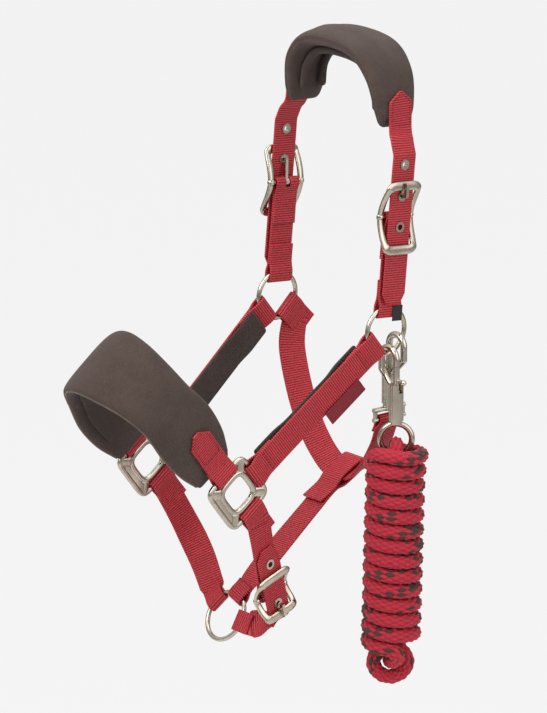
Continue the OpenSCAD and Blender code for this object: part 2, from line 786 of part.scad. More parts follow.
// Jowl strap: looped round the throat lash and folded on the chin ring
throat_fold = strap_t + clear + 1.6;
module jowl_strap() color(red) {
  width = [0, 1, 0];
  down = [throat_side.z, 0, -throat_side.x];
  start = fold(throat_low + throat_side * half_w, -throat_side, down, width, throat_fold, strap_w,
    strap_w + stitched);
  low = reversed(ring_fold(chin_ring_at, chin_up, chin_out, width, chin_ring_r, stitched));
  ribbon(concat(start, bridge(start, [], low, [width, width], 4), low));
}

// Lead rope in a hank: X runs across the eye and Y through it
rope_half = (rope_d + wrap_gap) / 2;
wrap_r = core_r + wrap_gap + rope_d / 2;
wrap_pitch = rope_d + wrap_gap;
wrap_rings = 24;
eye_low = eye_z - eye_r;
head_bend = eye_wire / 2 + rope_d / 2 + clear;
wrap_top = eye_low - rope_d + 2;
wrap_low = wrap_top - wraps * wrap_pitch;
core_top = wrap_top - rope_d / 2;
core_low = wrap_low + 10;
module hank() translate(on_axis) rotate(eye_turn) children();

module rope_head() color(red)
  hank()
    tube(concat(
      [[0, -rope_half, core_top + 0.1], [0, -rope_half, core_top + rope_d * 0.6]],
      [[0, -head_bend + 1.2, eye_low - 4]],
      [for (a = [180:-22.5:0]) [0, head_bend * cos(a), eye_low + head_bend * sin(a)]],
      [[0, head_bend - 1.2, eye_low - 4], [0, rope_half, core_top + rope_d * 0.6], [0, rope_half, core_top + 0.1]]
    ), rope_d, 10);

module rope_core() color(red)
  hank()
    translate([0, 0, core_low])
      cylinder(h = core_top - core_low, r = core_r);

// Wraps of the hank, then the tail that goes down and through the bight
tail_points = [
  [3.5, -17, wrap_low - 6], [2, -8, wrap_low - 15], [0, 0, wrap_low - 17.5],
  [0, 13, wrap_low - 19], [0, 28, wrap_low - 20]
];
wrap_points = concat(
  [[-rope_d, -wrap_r, wrap_top + 4]],
  [for (i = [0:wraps * wrap_rings]) let (a = 270 + 360 * i / wrap_rings)
    [wrap_r * cos(a), wrap_r * sin(a), wrap_top - wrap_pitch * i / wrap_rings]],
  tail_points
);
module rope_wrap() color(red) hank() tube(wrap_points, rope_d, 6);

bight_side = [
  [rope_half, 0, core_low - 0.6], [rope_half, 0, wrap_low - 3], [14, 0, wrap_low - 12],
  [15, 0, wrap_low - 20], [9, 0, wrap_low - 28.5], [0, 0, wrap_low - 31.5]
];
bight_points = curve(concat(
  bight_side,
  [for (i = [len(bight_side) - 2:-1:0]) [-bight_side[i].x, 0, bight_side[i].z]]
), 3);
module rope_bight() color(red) hank() tube(bight_points, rope_d, 8);

// Least free gap of the winding to itself, over points more than half a turn apart
wrap_self_gap = min([
  for (i = [0:len(wrap_points) - 1]) for (j = [i + wrap_rings * 0.6:len(wrap_points) - 1])
    norm(wrap_points[i] - wrap_points[floor(j)])
]) - rope_d;
echo(wrap_self_gap = wrap_self_gap);

poll_pad();
poll_pad_lining();
near_billet();
off_billet();
near_eyelets();
off_eyelets();
near_buckle_frame();
off_buckle_frame();
near_buckle_tongue();
off_buckle_tongue();
near_buckle_loop();
off_buckle_loop();
ring_tag();
near_upper_ring();
off_upper_ring();
near_cheek_strap();
off_cheek_strap();
near_cheek_lining();
off_cheek_lining();
side_tag();
near_square();
off_square();
nose_pad();
nose_pad_lining();
near_nose_tab();
off_nose_tab();
near_chin_strap();
off_chin_strap();
chin_billet();
chin_eyelets();
chin_buckle_frame();
chin_buckle_tongue();
chin_ring();
throat_clip_body();
throat_clip_bolt();
throat_clip_spring();
throat_clip_eye();
throat_strap();
jowl_strap();
hook_body();
hook_bolt();
hook_spring();
swivel_eye();
rope_head();
rope_core();
rope_wrap();
rope_bight();
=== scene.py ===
"""Webbing headcollar with a lead rope in a hank: the looks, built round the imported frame.

Every length in this file is in millimetres, in the part's own frame: the horse faces -X, its near side
is -Y and +Z is up. Meshes are turned to metres when they are made.
"""

import logging
import math
from dataclasses import dataclass
from enum import Enum
from typing import Callable, ClassVar, Optional, Sequence, Union

import bpy
import numpy as np
from mathutils import Matrix, Vector


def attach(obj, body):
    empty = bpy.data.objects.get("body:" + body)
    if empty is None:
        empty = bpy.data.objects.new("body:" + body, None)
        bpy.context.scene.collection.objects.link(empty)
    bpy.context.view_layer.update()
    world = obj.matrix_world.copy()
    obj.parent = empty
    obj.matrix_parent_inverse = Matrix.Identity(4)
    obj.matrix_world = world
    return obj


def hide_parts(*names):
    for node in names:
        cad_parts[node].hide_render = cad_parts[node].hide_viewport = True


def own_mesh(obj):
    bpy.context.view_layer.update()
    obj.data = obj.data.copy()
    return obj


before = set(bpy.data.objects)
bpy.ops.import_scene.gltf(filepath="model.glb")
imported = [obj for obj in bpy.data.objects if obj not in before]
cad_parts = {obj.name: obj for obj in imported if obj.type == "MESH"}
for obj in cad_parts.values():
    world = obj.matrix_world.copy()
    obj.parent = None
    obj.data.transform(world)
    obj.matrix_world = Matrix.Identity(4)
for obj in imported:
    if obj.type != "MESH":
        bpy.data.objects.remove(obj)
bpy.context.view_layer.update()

Array = np.ndarray
Size = Union[np.ndarray, float]
Socket = bpy.types.NodeSocket
Level = Union[Socket, float]
MM = 0.001
RIB_PITCH = 2.1
PALE = "#f5f5f5"
LOG = logging.getLogger("headcollar")


class Body(str, Enum):
    """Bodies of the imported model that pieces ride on."""

    CROWN = "crown"
    FACE = "face"
    HOOK = "lead_hook"
    ROPE = "lead_rope"


class Side(Enum):
    """Near (left) and off (right) side of the horse, as the factor on the Y of a near point."""

    NEAR = 1.0
    OFF = -1.0

    def point(self, p: Array) -> Array:
        """A point or direction of the near side, on this side."""
        return p * (1, self.value, 1)

    def knots(self, k: Array) -> Array:
        """Knots of a near strap on this side: places and width directions are mirrored."""
        return np.hstack([self.point(k[:, :3]), self.point(k[:, 3:6]), k[:, 6:]])


def vec(x: float, y: float, z: float) -> Array:
    """A point or direction as an array."""
    return np.array((x, y, z), float)


def unit(v: Array) -> Array:
    """The vectors of v along its last axis, each divided by its length."""
    return v / np.linalg.norm(v, axis=-1, keepdims=True)


def polar(degrees: float) -> Array:
    """Direction in the XZ plane at that angle from +X."""
    return vec(math.cos(math.radians(degrees)), 0, math.sin(math.radians(degrees)))


def ease(s: Array) -> Array:
    """Smooth step from 0 to 1."""
    c = np.clip(s, 0, 1)
    return c * c * (3 - 2 * c)


def catmull(points: Array, steps: int) -> Array:
    """Uniform Catmull-Rom curve through all points, steps samples a stretch.

    Args:
        points: Control points, one a row.
        steps: Samples in each stretch.

    Returns:
        The points of the curve, the last control point included.
    """
    p = np.vstack([2 * points[0] - points[1], points, 2 * points[-1] - points[-2]])
    a, b, c, d = (p[i : len(p) - 3 + i, None] for i in range(4))
    s = (np.arange(steps) / steps)[None, :, None]
    curve = b + 0.5 * s * (c - a + s * (2 * a - 5 * b + 4 * c - d + s * (3 * (b - c) + d - a)))
    return np.vstack([curve.reshape(-1, points.shape[1]), points[-1]])


def flow(knots: Array, step: float) -> tuple[Array, Array]:
    """Cubic Hermite curve through knots by chord length; each slope is that of the chord past the knot.

    Args:
        knots: Rows whose first three columns are the place; other columns ride along.
        step: Distance of two samples.

    Returns:
        The dense rows, and the distance along the curve of each.
    """
    span = np.linalg.norm(np.diff(knots[:, :3], axis=0), axis=1)
    t = np.concatenate([[0], np.cumsum(span)])
    ahead = np.minimum(np.arange(len(t)) + 1, len(t) - 1)
    behind = np.maximum(np.arange(len(t)) - 1, 0)
    slope = (knots[ahead] - knots[behind]) / (t[ahead] - t[behind])[:, None]
    at = np.linspace(0, t[-1], max(3, int(t[-1] / step) + 1))
    i = np.clip(np.searchsorted(t, at, side="right") - 1, 0, len(span) - 1)
    s, h = ((at - t[i]) / span[i])[:, None], span[i][:, None]
    dense = (
        knots[i] * (2 * s**3 - 3 * s**2 + 1)
        + slope[i] * h * (s**3 - 2 * s**2 + s)
        + knots[i + 1] * (3 * s**2 - 2 * s**3)
        + slope[i + 1] * h * (s**3 - s**2)
    )
    return dense, at


def travelled(path: Array) -> Array:
    """Distance along a path at each of its points."""
    return np.concatenate([[0], np.cumsum(np.linalg.norm(np.diff(path, axis=0), axis=1))])


def mirrored(half: Array) -> Array:
    """A line over the horse, from its near half that ends in the middle."""
    return np.vstack([half, (half * (1, -1, 1))[-2::-1]])


def grid_faces(rows: int, columns: int, closed: bool = True) -> Array:
    """Quads of a grid of rows by columns, whose columns close on themselves if closed."""
    i = np.arange(rows - 1)[:, None]
    k = np.arange(columns if closed else columns - 1)[None, :]
    a, b = i * columns + k, i * columns + (k + 1) % columns
    return np.stack([a, b, b + columns, a + columns], axis=-1).reshape(-1, 4)


@dataclass
class Surface:
    """Points, faces and the values that ride on the points of one mesh."""

    points: Array
    faces: list
    uv: Optional[Array] = None
    shade: Optional[Array] = None

    def joined(self, other: "Surface") -> "Surface":
        """This surface and another as one."""
        more = [tuple(int(v) + len(self.points) for v in f) for f in other.faces]
        uv = None if self.uv is None or other.uv is None else np.vstack([self.uv, other.uv])
        shade = None
        if self.shade is not None and other.shade is not None:
            shade = np.concatenate([self.shade, other.shade])
        return Surface(np.vstack([self.points, other.points]), list(self.faces) + more, uv, shade)

    def across(self) -> "Surface":
        """The bare surface on the other side of the horse."""
        return Surface(Side.OFF.point(self.points), [f[::-1] for f in self.faces])


def lofted(rings: Array, uv: Optional[Array] = None, shade: Optional[Array] = None) -> Surface:
    """Closed skin over rings of points, with a flat face on each end.

    Args:
        rings: Array of ring, point and coordinate; each ring runs round its path's direction.
        uv: Pattern coordinates of each point.
        shade: One value of each point, for its colour.

    Returns:
        The surface.
    """
    n, m = rings.shape[:2]
    faces = [tuple(f) for f in grid_faces(n, m).tolist()]
    faces += [tuple(range(m - 1, -1, -1)), tuple(range((n - 1) * m, n * m))]
    flat_uv = None if uv is None else uv.reshape(-1, 2)
    return Surface(rings.reshape(-1, 3), faces, flat_uv, None if shade is None else shade.reshape(-1))


def frames(path: Array, side: Array) -> tuple[Array, Array, Array]:
    """Direction, squared-up side and normal of each point of a path."""
    t = unit(np.gradient(path, axis=0))
    n = unit(np.cross(t, side))
    return t, np.cross(n, t), n


def piece(name: str, surface: Surface, material: bpy.types.Material, body: str,
          stands_for: Sequence[str] = ()) -> bpy.types.Object:
    """Makes a mesh object in metres, dresses it, and lets it ride on a body.

    Args:
        name: Name of the piece.
        surface: Its points and faces, in millimetres.
        material: Its finish.
        body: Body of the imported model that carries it.
        stands_for: CAD nodes that it replaces.

    Returns:
        The object.
    """
    mesh = bpy.data.meshes.new(name)
    mesh.from_pydata(surface.points * MM, [], surface.faces)
    if surface.uv is not None:
        corner = np.zeros(len(mesh.loops), np.int32)
        mesh.loops.foreach_get("vertex_index", corner)
        layer = mesh.uv_layers.new(name="weave")
        layer.data.foreach_set("uv", (surface.uv[corner] * MM).astype(np.float32).ravel())
    if surface.shade is not None:
        attribute = mesh.attributes.new("shade", "FLOAT", "POINT")
        attribute.data.foreach_set("value", surface.shade.astype(np.float32))
    mesh.polygons.foreach_set("use_smooth", np.ones(len(mesh.polygons), bool))
    mesh.materials.append(material)
    mesh.update()
    obj = bpy.data.objects.new(name, mesh)
    bpy.context.scene.collection.objects.link(obj)
    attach(obj, body)
    if stands_for:
        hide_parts(*stands_for)
    LOG.info("%s rides on %s: %d points", name, body, len(mesh.vertices))
    return obj


def linear(code: str) -> tuple[float, float, float, float]:
    """An sRGB hex colour as linear RGBA."""
    s = np.array([int(code[i : i + 2], 16) for i in (1, 3, 5)]) / 255
    r, g, b = np.where(s <= 0.04045, s / 12.92, ((s + 0.055) / 1.055) ** 2.4)
    return float(r), float(g), float(b), 1.0


class Nodes:
    """Node tree of a material or world: each method adds a node, and most hand back what it puts out."""

    def __init__(self, owner: bpy.types.ID) -> None:
        """Starts with the owner's tree, emptied."""
        owner.use_nodes = True
        self.owner, self.tree = owner, owner.node_tree
        self.tree.nodes.clear()

    def add(self, kind: str, inputs: Optional[dict] = None, **settings) -> bpy.types.Node:
        """Adds one node.

        Args:
            kind: Type of the node, without its first word.
            inputs: Value or source socket of each input, by its name or number.
            settings: Properties of the node.

        Returns:
            The node.
        """
        made = self.tree.nodes.new("ShaderNode" + kind)
        for key, value in settings.items():
            setattr(made, key, value)
        for key, value in (inputs or {}).items():
            if isinstance(value, Socket):
                self.tree.links.new(value, made.inputs[key])
            else:
                made.inputs[key].default_value = value
        return made

    def place(self) -> Socket:
        """Place on the object, in metres."""
        return self.add("TexCoord").outputs["Object"]

    def math(self, operation: str, *values: Level) -> Socket:
        """A function of one to three values."""
        return self.add("Math", dict(enumerate(values)), operation=operation).outputs[0]

    def noise(self, scale: float, detail: float = 2.0, roughness: float = 0.5) -> Socket:
        """Cloudy values about 0.5, on the object's own place."""
        return self.add("TexNoise", {"Vector": self.place(), "Scale": scale, "Detail": detail,
                                     "Roughness": roughness}).outputs[0]

    def ranged(self, value: Socket, low: float, high: float, to_low: float = 0.0,
               to_high: float = 1.0) -> Socket:
        """A value led from one range to another."""
        return self.add("MapRange", {"Value": value, "From Min": low, "From Max": high, "To Min": to_low,
                                     "To Max": to_high}).outputs[0]

    def mixed(self, share: Socket, first: str, second: str) -> Socket:
        """One colour passing into another."""
        return self.add("Mix", {0: share, 6: linear(first), 7: linear(second)}, data_type="RGBA").outputs[2]

    def scaled(self, colour: Socket, level: Socket) -> Socket:
        """A colour made lighter or darker."""
        return self.add("VectorMath", {0: colour, "Scale": level}, operation="SCALE").outputs[0]

    def bump(self, strength: float, distance: float, height: Socket) -> Socket:
        """Normals of a small relief."""
        return self.add("Bump", {"Strength": strength, "Distance": distance, "Height": height}).outputs[0]

    def blend(self, share: Socket, first: Socket, second: Socket) -> Socket:
        """One shader passing into another."""
        return self.add("MixShader", {0: share, 1: first, 2: second}).outputs[0]

    def finished(self, inputs: dict) -> bpy.types.Material:
        """The material, ended with a principled shader of those inputs."""
        shader = self.add("BsdfPrincipled", inputs).outputs[0]
        self.add("OutputMaterial", {"Surface": shader})
        return self.owner


@dataclass(frozen=True)
class WovenNylon:
    """Woven nylon webbing: cross ribs of weft over fine lengthwise warp, with a dull gleam on the ribs and
    painted shade darkening the grooves between them.
    """

    name: str
    rib_colour: str
    painted_groove_shade: str
    rib_pitch: float = RIB_PITCH
    warp_pitch: float = 0.9
    roughness: float = 0.58

    def material(self) -> bpy.types.Material:
        """The node material, drawn on the strap's own coordinates (across, along) in metres."""
        n = Nodes(bpy.data.materials.new(self.name))
        place = n.add("UVMap", uv_map="weave").outputs[0]
        across, along, _ = n.add("SeparateXYZ", {0: place}).outputs
        wave = n.math("COSINE", n.math("MULTIPLY", along, math.pi / (self.rib_pitch * MM)))
        rib = n.ranged(n.math("ABSOLUTE", wave), 0.15, 0.85)
        warp = n.math("SINE", n.math("MULTIPLY", across, 2 * math.pi / (self.warp_pitch * MM)))
        cloud = n.ranged(n.noise(90.0, 6.0), 0.0, 1.0, 0.86, 1.12)
        level = n.math("MULTIPLY", n.math("MULTIPLY_ADD", warp, 0.05, 0.98), cloud)
        # painted shade: the colour darkens towards the second colour in the grooves between ribs
        colour = n.scaled(n.mixed(rib, self.painted_groove_shade, self.rib_colour), level)
        relief = n.bump(0.35, 0.0003, n.math("MULTIPLY_ADD", warp, 0.35, n.noise(1400.0, 3.0)))
        gloss = n.ranged(rib, 0.0, 1.0, 0.8, self.roughness)
        return n.finished({"Base Color": colour, "Roughness": gloss, "Normal": relief, "IOR": 1.53,
                           "Sheen Weight": 0.05, "Sheen Roughness": 0.4})


@dataclass(frozen=True)
class BrushedKnit:
    """Brushed polyester knit over foam: a short matt nap with a soft sheen and a cloudy stroke."""

    name: str
    colour: str
    stroked: str
    nap: float = 1.1
    rib: float = 1.7

    def material(self) -> bpy.types.Material:
        """The node material; the nap is drawn coarser than its real fibres, so that it shows."""
        n = Nodes(bpy.data.materials.new(self.name))
        cloud, nap = n.noise(38.0, 5.0, 0.6), n.noise(1 / (self.nap * MM), 4.0, 0.7)
        loops = []
        for way in ((1.0, 0.6, 0.8), (-0.8, 0.6, 1.0)):
            turns = tuple(w * 2 * math.pi / (self.rib * MM) for w in way)
            dot = n.add("VectorMath", {0: n.place(), 1: turns}, operation="DOT_PRODUCT")
            loops.append(n.math("SINE", dot.outputs["Value"]))
        knit = n.math("MULTIPLY", *loops)
        worn = n.math("MULTIPLY_ADD", nap, 0.65, n.math("MULTIPLY", cloud, 0.35))
        share = n.ranged(n.math("MULTIPLY_ADD", knit, 0.06, worn), 0.34, 0.66)
        relief = n.bump(0.9, 0.0006, n.math("MULTIPLY_ADD", knit, 0.35, nap))
        return n.finished({"Base Color": n.mixed(share, self.colour, self.stroked), "Roughness": 0.92,
                           "Normal": relief, "IOR": 1.45, "Sheen Weight": 0.08, "Sheen Roughness": 0.5})


@dataclass(frozen=True)
class SatinNickel:
    """Die-cast zinc with a warm satin nickel plate: soft mirror, fine tumbling grain and duller patches."""

    name: str
    colour: str
    dull_colour: str
    roughness: float = 0.2

    def material(self) -> bpy.types.Material:
        """The node material, on object coordinates."""
        n = Nodes(bpy.data.materials.new(self.name))
        patch = n.noise(45.0, 3.0)
        colour = n.mixed(n.ranged(patch, 0.35, 0.7), self.colour, self.dull_colour)
        rough = n.ranged(patch, 0.3, 0.7, self.roughness - 0.04, self.roughness + 0.06)
        relief = n.bump(0.02, 0.0001, n.noise(900.0))
        return n.finished({"Base Color": colour, "Metallic": 1.0, "Roughness": rough, "Normal": relief})


@dataclass(frozen=True)
class BraidedYarn:
    """Braided polyester rope of two yarn colours: soft, matt and slightly hairy plaits."""

    name: str
    main: str
    fleck: str
    yarn: float = 0.9

    def material(self) -> bpy.types.Material:
        """The node material; attribute shade holds the yarn's colour (whole part) and the plait's depth,
        which darkens the colour as painted shade in the crevices between plaits.
        """
        n = Nodes(bpy.data.materials.new(self.name))
        mark = n.add("Attribute", attribute_name="shade").outputs["Fac"]
        base = n.mixed(n.math("GREATER_THAN", mark, 1.0), self.main, self.fleck)
        hair = n.noise(1 / (self.yarn * MM), 4.0, 0.65)
        # painted shade: the plait's depth darkens the colour in the crevices between plaits
        shadow = n.ranged(n.math("FLOORED_MODULO", mark, 1.0), 0.0, 0.9, 0.26, 1.05)
        level = n.math("MULTIPLY", shadow, n.ranged(hair, 0.3, 0.7, 0.8, 1.15))
        return n.finished({"Base Color": n.scaled(base, level), "Roughness": 0.85,
                           "Normal": n.bump(0.5, 0.0006, hair), "IOR": 1.5, "Sheen Weight": 0.06,
                           "Sheen Roughness": 0.5})


@dataclass(frozen=True)
class Twill:
    """Plain woven tag or sewing thread: tight fine weave, hardly any gleam."""

    name: str
    colour: str
    dark: str
    thread: float = 0.6

    def material(self) -> bpy.types.Material:
        """The node material: a checker of raised threads; drawn coarser than real so that it shows."""
        n = Nodes(bpy.data.materials.new(self.name))
        weave = n.add("TexChecker", {"Vector": n.place(), "Color1": linear(self.colour),
                                     "Color2": linear(self.dark), "Scale": 1 / (2 * self.thread * MM)})
        relief = n.bump(0.3, 0.0002, n.noise(1500.0))
        return n.finished({"Base Color": weave.outputs[0], "Roughness": 0.8, "Normal": relief, "IOR": 1.5})


# Places and directions that several pieces share, as in the part's source
RING_AT = vec(-20, -76, -240)
SQUARE_AT = vec(-178, -64, -362)
SQUARE_MID = SQUARE_AT * (1, 0, 1)
CHIN_RING_AT = vec(-140, 0, -498)
BAR_AT = vec(-10, -76, -137)
HOOK_LINE = vec(-17.794, -88, 0)
CLIP_LINE = vec(-5.88, -64, 0)
THROAT_LOW = vec(-4, 0, -388)
OUT = vec(0, -1, 0)
ACROSS = vec(1, 0, 0)
CROWN_DIR = unit(BAR_AT - RING_AT)
CROWN_SIDE = vec(-CROWN_DIR[2], 0, CROWN_DIR[0])
FACE_DIR = unit((RING_AT - SQUARE_AT) * (1, 0, 1))
NOSE_DIR = vec(-FACE_DIR[2], 0, FACE_DIR[0])
CHIN_UP = unit(vec(0.49, 0, 0.87))
CHIN_OUT = vec(CHIN_UP[2], 0, -CHIN_UP[0])
UPPER_RING_R = 21.1
CHIN_RING_R = 22.1
WIRE_R = 2.1
BAR_R = 2.2
SQUARE_BAR_OUT = 23.7
SQUARE_BAR = (4.6, 4.4)
SQUARE_FOLD = math.hypot(*SQUARE_BAR) / 2 + 1.4
BILLET_OFF = 6.2
EYELET_LIP = 3.9
TONGUE_SLOT = ((-3, -7.2, -3.6), (3, 7.2, 11.6))
TIP = 9.0

Cut = Callable[[Array], Array]


def round_cut(at: Array, axis: Array, radius: float) -> Cut:
    """Cells within radius of an axis through a point."""
    return lambda p: np.linalg.norm(np.cross(p - at, axis), axis=-1) < radius


def box_cut(at: Array, axes: Sequence[Array], low: Sequence[float], high: Sequence[float]) -> Cut:
    """Cells inside a box given along three axes from a point."""
    turn = np.array(axes)
    return lambda p: np.all(((p - at) @ turn.T > low) & ((p - at) @ turn.T < high), axis=-1)


@dataclass
class Lane:
    """Middle line of a finished strap, with its frames: where stitches are set."""

    path: Array
    side: Array
    normal: Array
    along: Array

    def nearest(self, point: Array) -> float:
        """Distance along the strap of the place nearest to a point."""
        return float(self.along[np.argmin(np.linalg.norm(self.path - point, axis=1))])

    def spots(self, v: Array, u: Array, lift: Array) -> Array:
        """Points at distances v along, u across and lift off the middle of the strap."""
        def at(values: Array) -> Array:
            """The rows of values at those distances."""
            return np.stack([np.interp(v, self.along, values[:, i]) for i in range(3)], axis=-1)
        return at(self.path) + at(self.side) * u[..., None] + at(self.normal) * lift[..., None]


@dataclass(frozen=True)
class Webbing:
    """Sizes of the webbing, and the ways it is folded, led and woven."""

    width: float = 25.0
    thick: float = 2.2
    gap: float = 0.4
    clear: float = 0.3
    rib: float = RIB_PITCH
    rib_height: float = 0.42
    step: float = 0.42
    lanes: int = 17
    stitched: float = 30.0

    @property
    def half_step(self) -> float:
        """Offset of a layer from the plane between two layers."""
        return (self.thick + self.gap) / 2

    def fold_r(self, r: float) -> float:
        """Radius of webbing folded round a bar of radius r, at the middle of its thickness."""
        return r + self.clear + self.thick / 2

    def rows(self, points: Sequence[Array], side: Array, width: Optional[float] = None) -> Array:
        """Knots of a strap: place, direction of the width, and width."""
        p = np.array(points, float).reshape(-1, 3)
        sides = np.broadcast_to(np.asarray(side, float), p.shape)
        return np.hstack([p, sides, np.full((len(p), 1), self.width if width is None else width)])

    def fold(self, c: Array, v: Array, o: Array, side: Array, r: float, flat: float, tail: float) -> Array:
        """Webbing folded round a bar at c: it leaves along v on side o, and its end lies on the other."""
        h, pinch = self.half_step, flat + 2.5 * r
        arc = np.radians(np.arange(-75, 76, 25))[:, None]
        return self.rows(np.vstack([
            c + v * tail - o * h, c + v * pinch - o * h, c + v * flat - o * r,
            c + o * r * np.sin(arc) - v * r * np.cos(arc),
            c + v * flat + o * r, c + v * pinch + o * h]), side)

    def ring_fold(self, c: Array, v: Array, o: Array, side: Array, r: float, tail: float,
                  drawn: Optional[float] = None) -> Array:
        """The same fold round the wire of a ring of mean radius r at c; drawn is a smaller width."""
        width = drawn or self.width
        edge = math.sqrt(r * r - width**2 / 4)
        slant = WIRE_R * (r / edge - 1)
        flat = r - edge + slant + WIRE_R / 2
        knots = self.fold(c + v * (edge - slant), v, o, side, self.fold_r(WIRE_R), flat, tail)
        knots[:, 6] = width
        return knots

    def bridge(self, start: Array, points: Sequence[Array], end: Array, sides: Sequence[Array],
               steps: int = 4) -> Array:
        """Two folds, and the smooth stretch through points that joins them."""
        p = np.vstack([start[-2:, :3], *[np.reshape(q, (1, 3)) for q in points], end[:2, :3]])
        path = catmull(p, steps)[steps + 1 : -steps - 1]
        s = np.linspace(0, len(sides) - 1, len(path))
        k = np.minimum(s.astype(int), len(sides) - 2)
        share = ease(s - k)[:, None]
        turn = np.array(sides)
        return np.vstack([start, self.rows(path, unit(turn[k] * (1 - share) + turn[k + 1] * share)), end])

    def tipped(self, knots: Array, first: Optional[float], last: Optional[float]) -> Array:
        """Knots with a narrowing tip on either end, of that end width."""
        if first is not None:
            d = unit(knots[0, :3] - knots[1, :3])
            knots = np.vstack([self.rows(knots[0, :3] + d * TIP, knots[0, 3:6], first), knots])
        if last is not None:
            d = unit(knots[-1, :3] - knots[-2, :3])
            knots = np.vstack([knots, self.rows(knots[-1, :3] + d * TIP, knots[-1, 3:6], last)])
        return knots

    def woven(self, knots: Array, cuts: Sequence[Cut] = ()) -> tuple[Surface, Lane]:
        """A ribbed strap along knots: flat faces with rounded ridges across, and worn-in edges.

        Args:
            knots: Rows of place, width direction and width.
            cuts: Tests that say which cells are cut out, for eyelets and buckle tongues.

        Returns:
            The closed surface, and its middle line.
        """
        dense, along = flow(knots[:, :6], self.step)
        chords = travelled(knots[:, :3])
        width = np.interp(along, chords, knots[:, 6])
        path = dense[:, :3]
        _, s, n = frames(path, dense[:, 3:6])
        edge = np.array([1, 0.985, 0.945])
        share = np.concatenate([edge, np.linspace(0.88, -0.88, self.lanes), -edge[::-1]])
        crown = np.concatenate([[0.45, 0.82, 0.97], np.ones(self.lanes), [0.97, 0.82, 0.45]])
        ridge = np.abs(np.cos(math.pi * along / self.rib)) ** 0.7
        x = (width / 2 + 0.25 * (ridge - 0.8))[:, None] * share
        y = (self.thick / 2 + self.rib_height * (ridge - 0.85))[:, None] * crown
        middle = path[:, None] + s[:, None] * x[..., None]
        lift = n[:, None] * y[..., None]
        rings = np.concatenate([middle + lift, (middle - lift)[:, ::-1]], axis=1)
        v = np.broadcast_to(along[:, None], x.shape)
        uv = np.concatenate([np.stack([x, v], -1), np.stack([x, v], -1)[:, ::-1]], axis=1)
        lane = Lane(path, s, n, along)
        if not cuts:
            return lofted(rings, uv), lane
        return self.pierced(rings, uv, middle, cuts), lane

    def pierced(self, rings: Array, uv: Array, middle: Array, cuts: Sequence[Cut]) -> Surface:
        """The strap's skin without the cut cells, and with walls round each hole."""
        n, m = middle.shape[:2]
        centre = (middle[:-1, :-1] + middle[1:, :-1] + middle[:-1, 1:] + middle[1:, 1:]) / 4
        gone = np.zeros((n - 1, m - 1), bool)
        for cut in cuts:
            gone |= cut(centre)
        keep = np.ones((n - 1, 2 * m), bool)
        keep[:, : m - 1] = ~gone
        keep[:, m : 2 * m - 1] = ~gone[:, ::-1]
        faces = grid_faces(n, 2 * m).reshape(n - 1, 2 * m, 4)[keep]
        index = np.arange(n * 2 * m).reshape(n, 2 * m)
        top, low = index[:, :m], index[:, : m - 1 : -1]
        i, c = np.nonzero(gone[:, 1:] != gone[:, :-1])
        c = c + 1
        wall = np.stack([top[i, c], low[i, c], low[i + 1, c], top[i + 1, c]], -1)
        wall = np.where(gone[i, c][:, None], wall, wall[:, ::-1])
        j, k = np.nonzero(gone[1:] != gone[:-1])
        j = j + 1
        end = np.stack([top[j, k], top[j, k + 1], low[j, k + 1], low[j, k]], -1)
        end = np.where(gone[j, k][:, None], end, end[:, ::-1])
        caps = [tuple(range(2 * m - 1, -1, -1)), tuple(range((n - 1) * 2 * m, n * 2 * m))]
        quads = np.vstack([faces, wall, end]).tolist()
        return Surface(rings.reshape(-1, 3), [tuple(f) for f in quads] + caps, uv.reshape(-1, 2))


@dataclass(frozen=True)
class Stitching:
    """Sewing thread: its thickness, stitch length and pitch."""

    thread: float = 1.0
    length: float = 2.5
    pitch: float = 3.3
    reach: float = 10.5

    def seams(self, lane: Lane, points: Sequence[Array]) -> list[tuple[float, float, float, float]]:
        """Runs straight across a strap, at the places nearest to points."""
        return [(v, -self.reach, v, self.reach) for v in map(lane.nearest, points)]

    def rows(self, lane: Lane, runs: Sequence[tuple[float, float, float, float]], face: Array,
             off: float) -> Surface:
        """Arched stitches along straight runs on a strap.

        Args:
            lane: Middle line of the strap.
            runs: Start and end of each run, as (along, across, along, across).
            face: Direction that the sewn face looks in.
            off: Distance of that face from the middle line.

        Returns:
            One surface with all the stitches.
        """
        ends = np.array(runs, float)
        spans = np.hypot(ends[:, 2] - ends[:, 0], ends[:, 3] - ends[:, 1])
        counts = np.maximum(1, (spans / self.pitch).astype(int))
        which = np.repeat(np.arange(len(ends)), counts)
        place = (np.concatenate([np.arange(c) for c in counts]) + 0.5) / counts[which]
        heading = (ends[:, 2:] - ends[:, :2]) / np.maximum(spans, 1e-6)[:, None]
        mid = ends[which, :2] + (ends[which, 2:] - ends[which, :2]) * place[:, None]
        s = np.linspace(-1, 1, 5)
        flat = mid[:, None] + heading[which][:, None] * (s * self.length / 2)[None, :, None]
        sign = np.sign(np.einsum("ij,j->i", lane.normal, face).mean())
        arch = sign * (off + self.thread * (0.12 - 0.42 * s**4))
        path = lane.spots(flat[..., 0], flat[..., 1], np.broadcast_to(arch, flat.shape[:2]))
        t = unit(np.gradient(path, axis=1))
        up = unit(lane.spots(flat[..., 0], flat[..., 1], np.broadcast_to(arch + sign, flat.shape[:2])) - path)
        across = np.cross(t, up)
        a = np.radians(np.arange(0, 360, 60))
        radius = self.thread / 2 * np.sqrt(1 - 0.7 * s**2)[None, :, None, None]
        ring = across[:, :, None] * np.cos(a)[:, None] + np.cross(across, t)[:, :, None] * np.sin(a)[:, None]
        points = path[:, :, None] + ring * radius
        n, m = len(s), len(a)
        one = [tuple(f[::-1]) for f in grid_faces(n, m).tolist()]
        one += [tuple(range(m)), tuple(range(n * m - 1, n * m - m - 1, -1))]
        faces = [tuple(v + n * m * i for v in f) for i in range(len(points)) for f in one]
        return Surface(points.reshape(-1, 3), faces)


def power(v: Array, p: float) -> Array:
    """Signed power, for squarish rounds."""
    return np.sign(v) * np.abs(v) ** p


